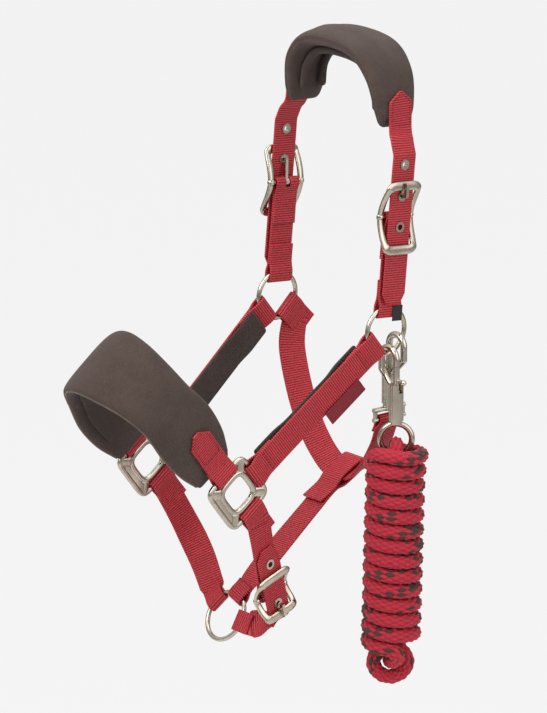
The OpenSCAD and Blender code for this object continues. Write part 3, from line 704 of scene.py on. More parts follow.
def cushion(path: Array, side: Array, width: Size, thick: Size, square: float, turn: float, seam: float,
            crest: float = 0.0, sides: int = 72) -> Surface:
    """A stuffed form along a path: super-ellipse sections, a drawn-in seam on both edges, and round ends.

    Args:
        path: Middle line.
        side: Direction of the width.
        width: Width, or that at each point.
        thick: Thickness, or that at each point.
        square: Power of the section's rounds: 1 is an ellipse, less is squarer.
        turn: Length over which each end is rounded.
        seam: Depth of the seam's groove.
        crest: Height of the ridge along the middle of the outer face.
        sides: Points of a section.

    Returns:
        The closed surface.
    """
    _, s, n = frames(path, np.broadcast_to(side, path.shape))
    width, thick = (np.broadcast_to(v, len(path)) for v in (width, thick))
    along = travelled(path)
    near_end = np.clip(np.minimum(along, along[-1] - along) / turn, 0.002, 1)
    round_off = np.sqrt(1 - (1 - near_end) ** 2)
    a = np.linspace(0, 2 * math.pi, sides, endpoint=False)
    y = (thick / 2 * round_off)[:, None] * power(np.sin(a), square - 0.05)
    x = (width / 2 - turn * 0.6 * (1 - round_off))[:, None] * power(np.cos(a), square)
    x = x - np.sign(x) * seam * np.exp(-((y / 1.1) ** 2)) * (np.abs(np.cos(a)) > 0.6)
    y = y - crest * round_off[:, None] * np.exp(-((x / 7) ** 2)) * (np.sin(a) < 0)
    points = path[:, None] + s[:, None] * x[..., None] + n[:, None] * y[..., None]
    uv = np.stack([np.broadcast_to(a * 8, x.shape), np.broadcast_to(along[:, None], x.shape)], -1)
    return lofted(points, uv)


def both_ways(half: Sequence[float], steps: int) -> Array:
    """Smooth values along a whole pad, from those at the points of its first half."""
    whole = np.array([*half, *half[-2::-1]])
    return catmull(whole[:, None] * vec(1, 1, 1), steps)[:, 0]


def tube(path: Array, radius: float, sides: int = 10) -> Surface:
    """Round tube along a path, with round ends."""
    return cushion(path, vec(0.31, 0.17, 0.93), 2 * radius, 2 * radius, 1.0, radius, 0.0, sides=sides)


@dataclass
class Cloths:
    """The finishes of the whole object, made once."""

    webbing: bpy.types.Material
    thread: bpy.types.Material
    pad: bpy.types.Material
    lining: bpy.types.Material
    piping: bpy.types.Material
    metal: bpy.types.Material
    steel: bpy.types.Material
    rope: bpy.types.Material
    tag_black: bpy.types.Material
    tag_red: bpy.types.Material

    @staticmethod
    def made() -> "Cloths":
        """All finishes, with the colours of this headcollar."""
        return Cloths(
            # the webbing's second colour is painted shade in the grooves between ribs
            webbing=WovenNylon("ribbed_nylon_webbing", "#c72532", "#4a070e").material(),
            thread=Twill("polyester_sewing_thread", "#96202b", "#7c1822", 0.35).material(),
            pad=BrushedKnit("brushed_knit_over_foam", "#372a25", "#56463f").material(),
            # the lining is the pad's knit in darker colours: painted shade on the inner side
            lining=BrushedKnit("brushed_knit_lining", "#2f2520", "#4a3c36").material(),
            # the piping is the pad's knit in paler colours: a real cord whose paler colour is a painted
            # highlight along the seam edges
            piping=BrushedKnit("brushed_knit_piping", "#54463c", "#7d6f62").material(),
            metal=SatinNickel("satin_nickel_on_zinc", "#c2b9aa", "#a99f90").material(),
            steel=SatinNickel("drawn_spring_steel", "#b9b8b4", "#a9a8a5", 0.3).material(),
            rope=BraidedYarn("braided_polyester_yarn", "#bd2438", "#44302a").material(),
            tag_black=Twill("woven_tag_black", "#262524", "#181818").material(),
            tag_red=Twill("woven_tag_dark_red", "#86202b", "#6d1822").material(),
        )


@dataclass
class Strapwork:
    """What crown, face and chin share: finishes, webbing, sewing, and the body that carries them."""

    cloths: Cloths
    web: Webbing
    sewing: Stitching
    body: ClassVar[Body] = Body.FACE

    def strap(self, name: str, node: str, knots: Array, cuts: Sequence[Cut] = ()) -> Lane:
        """Weaves one strap, which stands for a CAD node, and gives its middle line."""
        surface, lane = self.web.woven(knots, cuts)
        piece(f"{name}_web", surface, self.cloths.webbing, self.body.value, [node])
        return lane

    def sew(self, name: str, lane: Lane, runs: Sequence[tuple], face: Array) -> None:
        """Sets stitches on the outer face of a strap."""
        surface = self.sewing.rows(lane, runs, face, self.web.thick / 2)
        piece(f"{name}_stitching", surface, self.cloths.thread, self.body.value)

    def soft(self, name: str, surface: Surface, material: bpy.types.Material, slot: str,
             node: str) -> bpy.types.Object:
        """A pad, lining or tag, which stands for a CAD node."""
        return piece(name, surface, material, self.body.value, [node])


@dataclass
class Crown(Strapwork):
    """Crown: poll pad, billets, buckle loops and the small ring tag."""

    body: ClassVar[Body] = Body.CROWN
    billet_hole: float = 19.3
    eyelet_pitch: float = 28.0
    buckle_half: float = 33.0
    pad_face: float = -71.4
    poll_thick: float = 16.0
    poll_width: float = 52.0
    poll_shape: tuple = (0.6, 0.8, 0.95, 1.01, 1.0)
    roll: float = 7.0
    roll_x: float = 10.4

    def at(self, z: float, o: float) -> Array:
        """A point along the crown strap from the buckle's bar, and out from the ring's plane."""
        return BAR_AT + CROWN_DIR * z + OUT * o

    def poll_line(self) -> Array:
        """Middle line of the poll pad from its near to its off end."""
        half = np.array([[-1, -62, -60], [0, -61.5, -42], [0, -55, -16], [0, -35, 3],
                         [0, 0, self.poll_thick / 2]])
        return mirrored(half)

    def build(self) -> None:
        """Makes every soft piece of the crown."""
        self.pad()
        self.rolls()
        for side in Side:
            self.billet(side)
            self.loop(side)
        self.tag()

    def pad(self) -> None:
        """Poll pad: its section grows from the strap's ends to the middle, with a soft ridge outside."""
        path = catmull(self.poll_line(), 30)
        b = 1 - np.abs(np.linspace(-1, 1, len(path)))
        width = self.poll_width * both_ways(self.poll_shape, 30)
        thick = self.poll_thick * (0.6 + 0.4 * ease(b * 5))
        surface = cushion(path, ACROSS, width, thick, 0.75, 6, 0.8, crest=1.4)
        made = self.soft("poll_pad_cover", surface, self.cloths.pad, "pad_fabric", "poll_pad")

    def rolls(self) -> None:
        """Two lining rolls under the pad, either side of a channel."""
        line = self.poll_line()[1:-1]
        inner = line - unit(line * (0, 1, 1) + (0, 0, 70)) * (self.poll_thick / 2 + self.roll / 2 + 0.6)
        path = catmull(inner, 16)
        near, off = (tube(path + ACROSS * x, self.roll / 2, 28) for x in (-self.roll_x, self.roll_x))
        made = self.soft("poll_pad_rolls", near.joined(off), self.cloths.lining, "pad_fabric",
                         "poll_pad_lining")

    def billet(self, side: Side) -> None:
        """Billet of one side, with its eyelet holes and the stitching of its pointed end."""
        name, to, half = f"{side.name.lower()}_billet", side.point, self.buckle_half
        upper = catmull(np.array([[0, self.pad_face + 0.4, -36], [-1, self.pad_face - 0.6, -60],
                                  self.at(67, BILLET_OFF - 4.6), self.at(56, BILLET_OFF)]), 4)
        lower = [self.at(z, BILLET_OFF) for z in (half + 12, half, 0, -half, -half - 36)]
        knots = side.knots(self.web.tipped(self.web.rows([*upper, *lower], CROWN_SIDE), 3, 15))
        holes = [self.at(self.billet_hole + k * self.eyelet_pitch, BILLET_OFF) for k in (-1, 0, 1)]
        lane = self.strap(name, name, knots, [round_cut(to(hole), OUT, EYELET_LIP) for hole in holes])
        runs = [(9.5, -10, 30, -10), (9.5, 10, 30, 10), (30, -10, 30, 10), (9.5, -10, 2, 0), (9.5, 10, 2, 0)]
        self.sew(name, lane, runs, to(OUT))

    def loop(self, side: Side) -> None:
        """Webbing folded from the buckle's bar to the upper ring of one side, with its stitching."""
        name, to, tail = side.name.lower(), side.point, self.web.stitched
        ring = self.web.ring_fold(RING_AT, CROWN_DIR, OUT, CROWN_SIDE, UPPER_RING_R, tail)
        bar = self.web.fold(BAR_AT, -CROWN_DIR, OUT, CROWN_SIDE, self.web.fold_r(BAR_R), 1, tail + 8)[::-1]
        slot = box_cut(to(BAR_AT), (CROWN_SIDE, OUT, CROWN_DIR), *TONGUE_SLOT)
        lane = self.strap(f"{name}_loop", f"{name}_buckle_loop", side.knots(np.vstack([ring, bar])), [slot])
        outer = [to(RING_AT + CROWN_DIR * d + OUT * self.web.half_step) for d in (36, 39, 62, 65)]
        self.sew(f"{name}_loop", lane, self.sewing.seams(lane, outer), to(OUT))

    def tag(self) -> None:
        """Small plain tag on one half of the near loop, where it folds round the ring."""
        centre = RING_AT + CROWN_DIR * (UPPER_RING_R - 4.5) + OUT * 5.35 - CROWN_SIDE * 7
        path = centre + CROWN_DIR * np.linspace(-7, 7, 40)[:, None]
        surface = cushion(path, CROWN_SIDE, 11.0, 0.9, 0.5, 0.5, 0.0, sides=24)
        made = self.soft("ring_tag_cloth", surface, self.cloths.tag_black, "tag_black", "ring_tag")


@dataclass
class Face(Strapwork):
    """Face: cheek straps with linings, the side tag, the nose pad, its lining, piping and tabs."""

    lining_thick: float = 3.5
    lining_over: float = 3.0
    nose_thick: float = 12.0
    nose_width: float = 72.0
    nose_shape: tuple = (0.56, 0.8, 0.88, 0.82, 0.87, 0.96, 1.0)
    nose_shift: float = -3.0
    nose_lining: float = 4.0
    piping: float = 1.3

    def at(self, h: float, y: float) -> Array:
        """A point over the nose: h along the nose direction from the squares' middle, y across."""
        return SQUARE_MID + NOSE_DIR * h + vec(0, y, 0)

    def nose_line(self) -> Array:
        """Middle line of the nose pad from its near to its off end."""
        half = np.array([self.at(*p) for p in
                         ((29, -56), (56, -58.5), (84, -58), (110, -53), (133, -40), (149, -21), (156, 0))])
        return mirrored(half + FACE_DIR * self.nose_shift)

    def build(self) -> None:
        """Makes every soft piece of the face."""
        self.pad()
        for side in Side:
            self.cheek(side)
            self.tab(side)

    def pad(self) -> None:
        """Nose pad, the band inside it, and the piping in the seam along both edges."""
        path = catmull(self.nose_line(), 30)
        b = 1 - np.abs(np.linspace(-1, 1, len(path)))
        width = self.nose_width * both_ways(self.nose_shape, 30)
        thick = self.nose_thick * (0.5 + 0.5 * ease(b * 5))
        surface = cushion(path, FACE_DIR, width, thick, 0.6, 3, 0.8)
        made = self.soft("nose_pad_cover", surface, self.cloths.pad, "pad_fabric", "nose_pad")
        _, s, _ = frames(path, np.broadcast_to(FACE_DIR, path.shape))
        edges = [path + s * (k * (width / 2 - 0.5))[:, None] for k in (-1, 1)]
        cords = [tube(e[4:-4], self.piping, 12) for e in edges]
        # the paler piping colour is a painted highlight along both edges of the pad
        piece("nose_pad_piping", cords[0].joined(cords[1]), self.cloths.piping, Body.FACE.value)
        inner = catmull(self.nose_line()[1:-1], 30)
        _, _, n = frames(inner, np.broadcast_to(FACE_DIR, inner.shape))
        off = self.nose_thick / 2 + self.nose_lining / 2 + 0.3
        width = 0.72 * self.nose_width * both_ways(self.nose_shape[1:], 30)
        surface = cushion(inner + n * off, FACE_DIR, width, self.nose_lining, 0.6, 3, 0.4)
        made = self.soft("nose_pad_band", surface, self.cloths.lining, "pad_fabric", "nose_pad_lining")

    def cheek(self, side: Side) -> None:
        """Cheek strap of one side with its lining, stitching and, on the near side, the tag."""
        name = side.name.lower()
        turned, to = side.knots, side.point
        web, h = self.web, self.web.half_step
        top = RING_AT - FACE_DIR * (UPPER_RING_R + WIRE_R / 2 + 2.5 * web.fold_r(WIRE_R)) + OUT * h
        bend = 1 + 2.5 * SQUARE_FOLD
        run = unit(SQUARE_AT + FACE_DIR * (SQUARE_BAR_OUT + bend) + OUT * h - top)
        out = unit(np.cross(NOSE_DIR, run))
        bar = SQUARE_AT + FACE_DIR * SQUARE_BAR_OUT
        low = bar - run * bend + out * h
        flat = unit(np.cross(NOSE_DIR, low - top))
        knots = turned(np.vstack([
            web.ring_fold(RING_AT, -FACE_DIR, OUT, NOSE_DIR, UPPER_RING_R, web.stitched),
            web.fold(bar, -run, out, NOSE_DIR, SQUARE_FOLD, 1, web.stitched)[::-1]]))
        lane = self.strap(f"{name}_cheek", f"{name}_cheek_strap", knots)
        spots = [to(top + (low - top) * s) for s in (0.015, 0.04, 0.945, 0.97)]
        self.sew(f"{name}_cheek", lane, self.sewing.seams(lane, spots), to(OUT))
        s = np.linspace(0, 1, 160)
        lining_off = web.thick / 2 + 2 * web.clear + self.lining_thick / 2
        lining_off = lining_off + 2 * h * ease(np.abs(2 * s - 1) / 0.3 - 1.2)
        path = to(top + (low - top) * s[:, None] - flat * lining_off[:, None])
        wide = web.width + self.lining_over
        surface = cushion(path, NOSE_DIR, wide, self.lining_thick, 0.62, 3, 0.5, sides=48)
        made = self.soft(f"{name}_cheek_lining_pad", surface, self.cloths.lining, "pad_fabric",
                         f"{name}_cheek_lining")
        if side is Side.NEAR:
            self.side_tag(top + (low - top) * 0.3, flat, unit(low - top))

    def side_tag(self, at: Array, out: Array, run: Array) -> None:
        """Plain woven tag sewn to the lower edge of the near cheek strap."""
        centre = at - NOSE_DIR * (self.web.width / 2 + 4.5) + out * (self.web.thick / 2 + 0.75)
        s = np.linspace(-1, 1, 60)[:, None]
        path = centre + run * s * 22
        surface = cushion(path, NOSE_DIR, 14.0, 0.9, 0.5, 0.5, 0.0, sides=24)
        made = self.soft("side_tag_cloth", surface, self.cloths.tag_red, "tag_red", "side_tag")
        lane = Lane(path, np.broadcast_to(NOSE_DIR, path.shape), np.broadcast_to(out, path.shape),
                    np.linspace(0, 44, len(path)))
        first, last, edge = 1.8, 42.2, 5.8
        runs = [(first, -edge, last, -edge), (first, edge, last, edge), (first, -edge, first, edge),
                (last, -edge, last, edge)]
        fine = Stitching(thread=0.6, length=1.7, pitch=2.3)
        sewn = fine.rows(lane, runs, out, 0.45)
        piece("side_tag_stitching", sewn, self.cloths.thread, Body.FACE.value)

    def tab(self, side: Side) -> None:
        """Webbing tab from a square onto the nose pad, pointed and sewn round its edge."""
        name = side.name.lower()
        turned, to = side.knots, side.point
        off = self.nose_thick / 2 + 1.4
        bar = SQUARE_AT + NOSE_DIR * SQUARE_BAR_OUT
        start = self.web.fold(bar, NOSE_DIR, OUT, FACE_DIR, SQUARE_FOLD, 1, 14)
        on_pad = [self.at(50, -58.2 - off), self.at(60, -58.7 - off), self.at(70, -58.9 - off)]
        tip = self.web.rows(on_pad[-1] + NOSE_DIR * TIP, FACE_DIR, 6)
        knots = turned(np.vstack([start, self.web.rows(on_pad, FACE_DIR), tip]))
        lane = self.strap(f"{name}_nose_tab", f"{name}_nose_tab", knots)
        end = lane.along[-1]
        runs = [(end - 9, -10, end - 30, -10), (end - 9, 10, end - 30, 10), (end - 30, -10, end - 30, 10),
                (end - 9, -10, end - 2, -2), (end - 9, 10, end - 2, 2)]
        self.sew(f"{name}_nose_tab", lane, runs, to(OUT))


@dataclass
class Chin(Strapwork):
    """Chin: the straps from the squares, the adjusting billet, the throat lash and the jowl strap."""

    buckle_half: float = 23.0
    hole: float = 9.3
    low: float = 16.0
    off_turn: float = 150.0
    jowl_turn: float = 75.0
    drawn: float = 19.0
    throat_turn: float = 314.0
    throat_lean: float = 30.0
    square_seams: tuple[float, float] = (42, 45)

    def __post_init__(self) -> None:
        """Works out the directions of the chin buckle."""
        self.bar = vec(-133, -54, -464)
        self.run = unit(vec(0.3, 0.1, -0.95))
        lean = FACE_DIR * 0.4 + CHIN_UP * 0.6
        self.side = unit(np.cross(np.cross(self.run, lean), self.run))
        self.face = unit(np.cross(self.run, self.side))

    def on_ring(self, turn: float) -> Array:
        """Direction from the middle of the chin ring, from the near side at 0 to straight up at 90."""
        a = math.radians(turn)
        return CHIN_UP * math.sin(a) + OUT * math.cos(a)

    def ring_end(self, turn: float, across: Array) -> Array:
        """A strap's fold on the chin ring, drawn in, that leaves the ring's middle in that direction."""
        return self.web.ring_fold(CHIN_RING_AT, self.on_ring(turn), CHIN_OUT, across, CHIN_RING_R,
                                  self.web.stitched / 2, self.drawn)

    def at(self, z: float, o: float) -> Array:
        """A point along the chin buckle from its bar, and out from it."""
        return self.bar + self.run * z + self.face * o

    def build(self) -> None:
        """Makes every strap of the chin and throat."""
        self.off_strap()
        self.near_strap()
        self.billet()
        self.throat()
        self.jowl()

    def off_strap(self) -> None:
        """Strap from the off square to the chin ring."""
        web, square = self.web, Side.OFF.point(SQUARE_AT)
        bar = square - NOSE_DIR * SQUARE_BAR_OUT
        top = web.fold(bar, -NOSE_DIR, -OUT, FACE_DIR, SQUARE_FOLD, 1, web.stitched)
        across = self.on_ring(self.off_turn - 90)
        low = self.ring_end(self.off_turn, across)[::-1]
        points = [SQUARE_MID + p for p in (vec(41, 58, -68), vec(47, 44, -96))]
        knots = web.bridge(top, points, low, [FACE_DIR, across])
        seams = [square - NOSE_DIR * d - OUT * web.half_step for d in self.square_seams]
        self.sewn("off_chin_strap", knots, seams, -OUT)

    def near_strap(self) -> None:
        """Strap from the near square to the bar of the chin buckle."""
        web, tail = self.web, self.web.stitched
        bar = SQUARE_AT - NOSE_DIR * SQUARE_BAR_OUT
        top = web.fold(bar, -NOSE_DIR, OUT, FACE_DIR, SQUARE_FOLD, 1, tail)
        low = web.fold(self.bar, -self.run, self.face, self.side, web.fold_r(BAR_R), 1, tail / 2)[::-1]
        points = [SQUARE_MID + p for p in (vec(26, -64.5, -44), vec(33, -61, -66))]
        knots = web.bridge(top, points, low, [FACE_DIR, self.side])
        slot = box_cut(self.bar, (self.side, self.face, self.run), *TONGUE_SLOT)
        seams = [SQUARE_AT - NOSE_DIR * d + OUT * web.half_step for d in self.square_seams]
        self.sewn("near_chin_strap", knots, seams, OUT, [slot])

    def billet(self) -> None:
        """Adjusting strap from the chin ring through the buckle, with its eyelet holes."""
        web, half = self.web, self.buckle_half
        start = self.ring_end(0, CHIN_UP)
        rest = web.rows([self.at(half + 5, BILLET_OFF - 3), self.at(half - 3, BILLET_OFF - 0.3),
                         self.at(self.hole + 4, BILLET_OFF), self.at(0, BILLET_OFF),
                         self.at(-half, BILLET_OFF), self.at(-half - self.low, BILLET_OFF)], self.side)
        knots = web.bridge(start, [], rest, [CHIN_UP, self.side], 6)
        holes = [self.at(z, BILLET_OFF) for z in (self.hole, -half - 9)]
        cuts = [round_cut(hole, self.face, EYELET_LIP) for hole in holes]
        self.sewn("chin_billet", web.tipped(knots, None, 12.5), [], self.face, cuts)

    def throat(self) -> None:
        """Throat lash from its clip to the off ring."""
        web, tail = self.web, self.web.stitched
        lead = unit(vec(0, 0.5, -0.86))
        bar = CLIP_LINE + vec(0, 0, -324.78)
        near = web.fold(bar, lead, np.cross(lead, ACROSS), ACROSS, web.fold_r(BAR_R), 1, tail / 2)
        ring, away, turn = Side.OFF.point(RING_AT), polar(self.throat_turn), polar(self.throat_turn + 90)
        off = web.ring_fold(ring, away, -OUT, turn, UPPER_RING_R, tail)[::-1]
        points = [THROAT_LOW + p for p in (
            vec(-1, -52, 38), vec(0, -36, 17), vec(0, -18, 2), vec(0, 0, 0), vec(0, 18, 2), vec(-3, 38, 24),
            vec(-4, 56, 56), vec(-2, 72, 98))]
        knots = web.bridge(near, points, off, [ACROSS, polar(self.throat_lean), turn])
        seams = [ring + away * d - OUT * web.half_step for d in (38, 41)]
        self.sewn("throat_strap", knots, seams, -OUT)

    def jowl(self) -> None:
        """Jowl strap, looped round the throat lash and led to the chin ring."""
        web, width = self.web, vec(0, 1, 0)
        side = polar(self.throat_lean)
        down = vec(side[2], 0, -side[0])
        start = web.fold(THROAT_LOW + side * web.width / 2, -side, down, width, web.thick + 1.9, web.width,
                         web.width + web.stitched)
        across = self.on_ring(self.jowl_turn + 90)
        low = self.ring_end(self.jowl_turn, across)[::-1]
        knots = web.bridge(start, [], low, [width, across])
        seams = [THROAT_LOW - side * d + down * web.half_step for d in (17, 20)]
        self.sewn("jowl_strap", knots, seams, down)

    def sewn(self, node: str, knots: Array, seams: Sequence[Array], face: Array,
             cuts: Sequence[Cut] = ()) -> None:
        """One strap that stands for a CAD node, with rows of stitches at the seams."""
        lane = self.strap(node, node, knots, cuts)
        if len(seams):
            self.sew(node, lane, self.sewing.seams(lane, seams), face)


def carried(path: Array) -> tuple[Array, Array, Array]:
    """Frames carried along a path without twist, by double reflection from point to point."""
    t = unit(np.gradient(path, axis=0))
    r = np.empty_like(t)
    r[0] = unit(np.cross(t[0], vec(0.3, 0.8, 0.5)))
    for i in range(len(path) - 1):
        v = path[i + 1] - path[i]
        c = v @ v
        rl = r[i] - 2 / c * (v @ r[i]) * v
        tl = t[i] - 2 / c * (v @ t[i]) * v
        w = t[i + 1] - tl
        r[i + 1] = rl - 2 / max(w @ w, 1e-12) * (w @ rl) * w if w @ w > 1e-12 else rl
    return t, r, np.cross(t, r)


@dataclass
class LeadRope:
    """Lead rope in a hank under the trigger hook, and the small springs of both hooks."""

    cloths: Cloths
    diameter: float = 13.0
    wraps: int = 13
    per_turn: int = 24
    eye_fold: float = 9.5
    wrap_r: float = 20.6
    pitch: float = 13.7
    half: float = 6.85
    eye_low: float = -350.93
    wrap_top: float = -348.23
    top_wrap: float = 2.0
    wrap_low: float = -526.33
    core_top: float = -368.43
    core_low: float = -516.33
    eye_turn: float = -39.0
    lean: float = 0.022
    weave: float = 0.7
    carriers: int = 8
    plait: float = 8.6
    step: float = 1.15
    relaxed: int = 12
    around: int = 48
    coils: int = 7
    spring_r: float = 3.45
    spring_long: float = 16.1
    wire: float = 0.9
    pressed: float = 0.48

    def hank(self, p: Array) -> Array:
        """Points of the hank's own frame, in the part's frame."""
        a = math.radians(self.eye_turn)
        turn = np.array([[math.cos(a), math.sin(a), 0], [-math.sin(a), math.cos(a), 0], [0, 0, 1]])
        p = p - np.outer(self.lean * np.clip(self.eye_low - p[:, 2], 0, None), (1, 0, 0))
        return p @ turn + HOOK_LINE

    def route(self) -> Array:
        """The rope's way: through the eye, down and up inside the hank, round it, then its tail."""
        a = np.radians(np.arange(180, -1, -22.5))
        head = np.column_stack([0 * a, self.eye_fold * np.cos(a), self.eye_low + self.eye_fold * np.sin(a)])
        up = np.array([[0, -self.half, self.core_top + 0.1], [0, -self.half, self.core_top + 7.8],
                       [0, -8.3, self.eye_low - 4]])
        down = np.array([[0, 8.3, self.eye_low - 4], [0, self.half, self.core_top + 7.8],
                         [0, self.half, self.core_top + 0.1]])
        s = np.linspace(0.04, 0.97, 12)
        phi = np.radians(90 * (1 - s))
        z = self.core_top + (self.core_low - self.core_top) * s
        inner = np.column_stack([self.half * np.cos(phi), self.half * np.sin(phi), z])
        bight = np.array([[self.half, 0, self.core_low - 0.6], [self.half, 0, self.wrap_low - 3],
                          [14, 0, self.wrap_low - 12], [15, 0, self.wrap_low - 20],
                          [9, 0, self.wrap_low - 28.5], [0, 0, self.wrap_low - 31.5]])
        loop = np.vstack([bight, (bight * (-1, 1, 1))[-2::-1]])
        back = (inner * (-1, -1, 1))[::-1][:-1]
        leave = np.array([[-6, -5, -27.0], [-14, -6.5, -14], [-20.5, -9, -3], [-11.5, -19.5, 2]])
        leave[:, 2] += self.wrap_top
        i = np.arange(self.wraps * self.per_turn + 1)
        b = np.radians(270 + 360 / self.per_turn * i)
        round_r = self.wrap_r + self.top_wrap * (1 - ease(i / self.per_turn - 0.6))
        coil = np.column_stack([round_r * np.cos(b), round_r * np.sin(b),
                                self.wrap_top - self.pitch * i / self.per_turn])
        tail = np.array([[4.5, -19.4, -3], [6.2, -15.8, -8.5], [3.5, -8.5, -14], [0.3, 0, -17], [0, 13, -19],
                         [0, 28, -20]])
        tail[:, 2] += self.wrap_low
        return self.hank(np.vstack([up, head, down, inner, loop, back, leave, coil, tail]))

    def braid(self, path: Array, along: Array) -> Surface:
        """Rope skin: two families of yarn bundles cross over and under each other.

        A bundle's height is a round across its width, raised where it passes over and sunk where it passes
        under; the higher bundle shows. Its colour goes by its number, so about one bundle in five is brown.
        """
        _, side, up = carried(path)
        theta = np.linspace(0, 2 * math.pi, self.around, endpoint=False)
        turn = self.carriers * theta[None, :] / (2 * math.pi)
        run = along[:, None] / self.plait
        a, b = turn + run, turn - run
        ia, ib = np.floor(a), np.floor(b)
        fa, fb = a - ia - 0.5, b - ib - 0.5
        over = np.where((ia + ib) % 2 == 0, 1.0, -1.0)
        ha = np.sqrt(np.clip(1 - 3.2 * fa**2, 0, 1)) * (1 + self.weave * over * np.cos(math.pi * fb))
        hb = np.sqrt(np.clip(1 - 3.2 * fb**2, 0, 1)) * (1 - self.weave * over * np.cos(math.pi * fa))
        height = np.maximum(ha, hb) / (1 + self.weave)
        drift = (np.sin(along / 61.0) + np.sin(along / 23.0 + 1.3))[:, None]
        brown = np.where(ha > hb, (ia % self.carriers < 1) | ((ia % self.carriers == 1) & (drift > -0.6)),
                         (ib % self.carriers == 3) | ((ib % self.carriers == 4) & (drift > -0.2)))
        near_end = np.clip(np.minimum(along, along[-1] - along) / 5, 0.05, 1)[:, None]
        r = self.diameter / 2 * (0.66 + 0.4 * height) * np.sqrt(1 - (1 - near_end) ** 2)
        ring = side[:, None] * np.cos(theta)[:, None] + up[:, None] * np.sin(theta)[:, None]
        points = path[:, None] + ring * r[..., None]
        # the whole part marks brown yarn; the fraction is the plait's height, which the material turns into
        # painted shade in the crevices
        shade = np.clip(height, 0.02, 0.95) + brown
        return lofted(points, None, shade)

    def spring(self, node: str, body: Body, foot: Array) -> None:
        """A wire coil under a hook's bolt.

        Args:
            node: CAD node that it stands for.
            body: Body that it rides on.
            foot: Middle of its lower end.
        """
        share = np.linspace(0, 1, 280)
        turn = 2 * math.pi * self.coils * share
        rise = np.interp(share, [0, 1 / self.coils, 1 - 1 / self.coils, 1], [0, 0.07, 0.93, 1])
        high = self.wire / 2 + (self.spring_long - self.wire) * rise
        line = foot + np.column_stack([self.spring_r * np.cos(turn), self.spring_r * np.sin(turn), high])
        coil = tube(line, self.wire / 2, 12)
        made = piece(f"{node}_coil", coil, self.cloths.steel, body.value, [node])
        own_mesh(made)

    def build(self) -> None:
        """Makes the rope, and the springs inside the two hooks."""
        self.spring("hook_spring", Body.HOOK, HOOK_LINE + vec(0, 0, -310.03))
        self.spring("throat_clip_spring", Body.FACE, CLIP_LINE + vec(0, 0, -301.53))
        knots = self.route()
        path, _ = flow(knots, self.step)
        for _ in range(self.relaxed):
            path[1:-1] = (path[:-2] + 2 * path[1:-1] + path[2:]) / 4
        along = travelled(path)
        made = piece("lead_rope_braid", self.braid(path, along), self.cloths.rope, Body.ROPE.value,
                     ["rope_head", "rope_core", "rope_wrap", "rope_bight"])


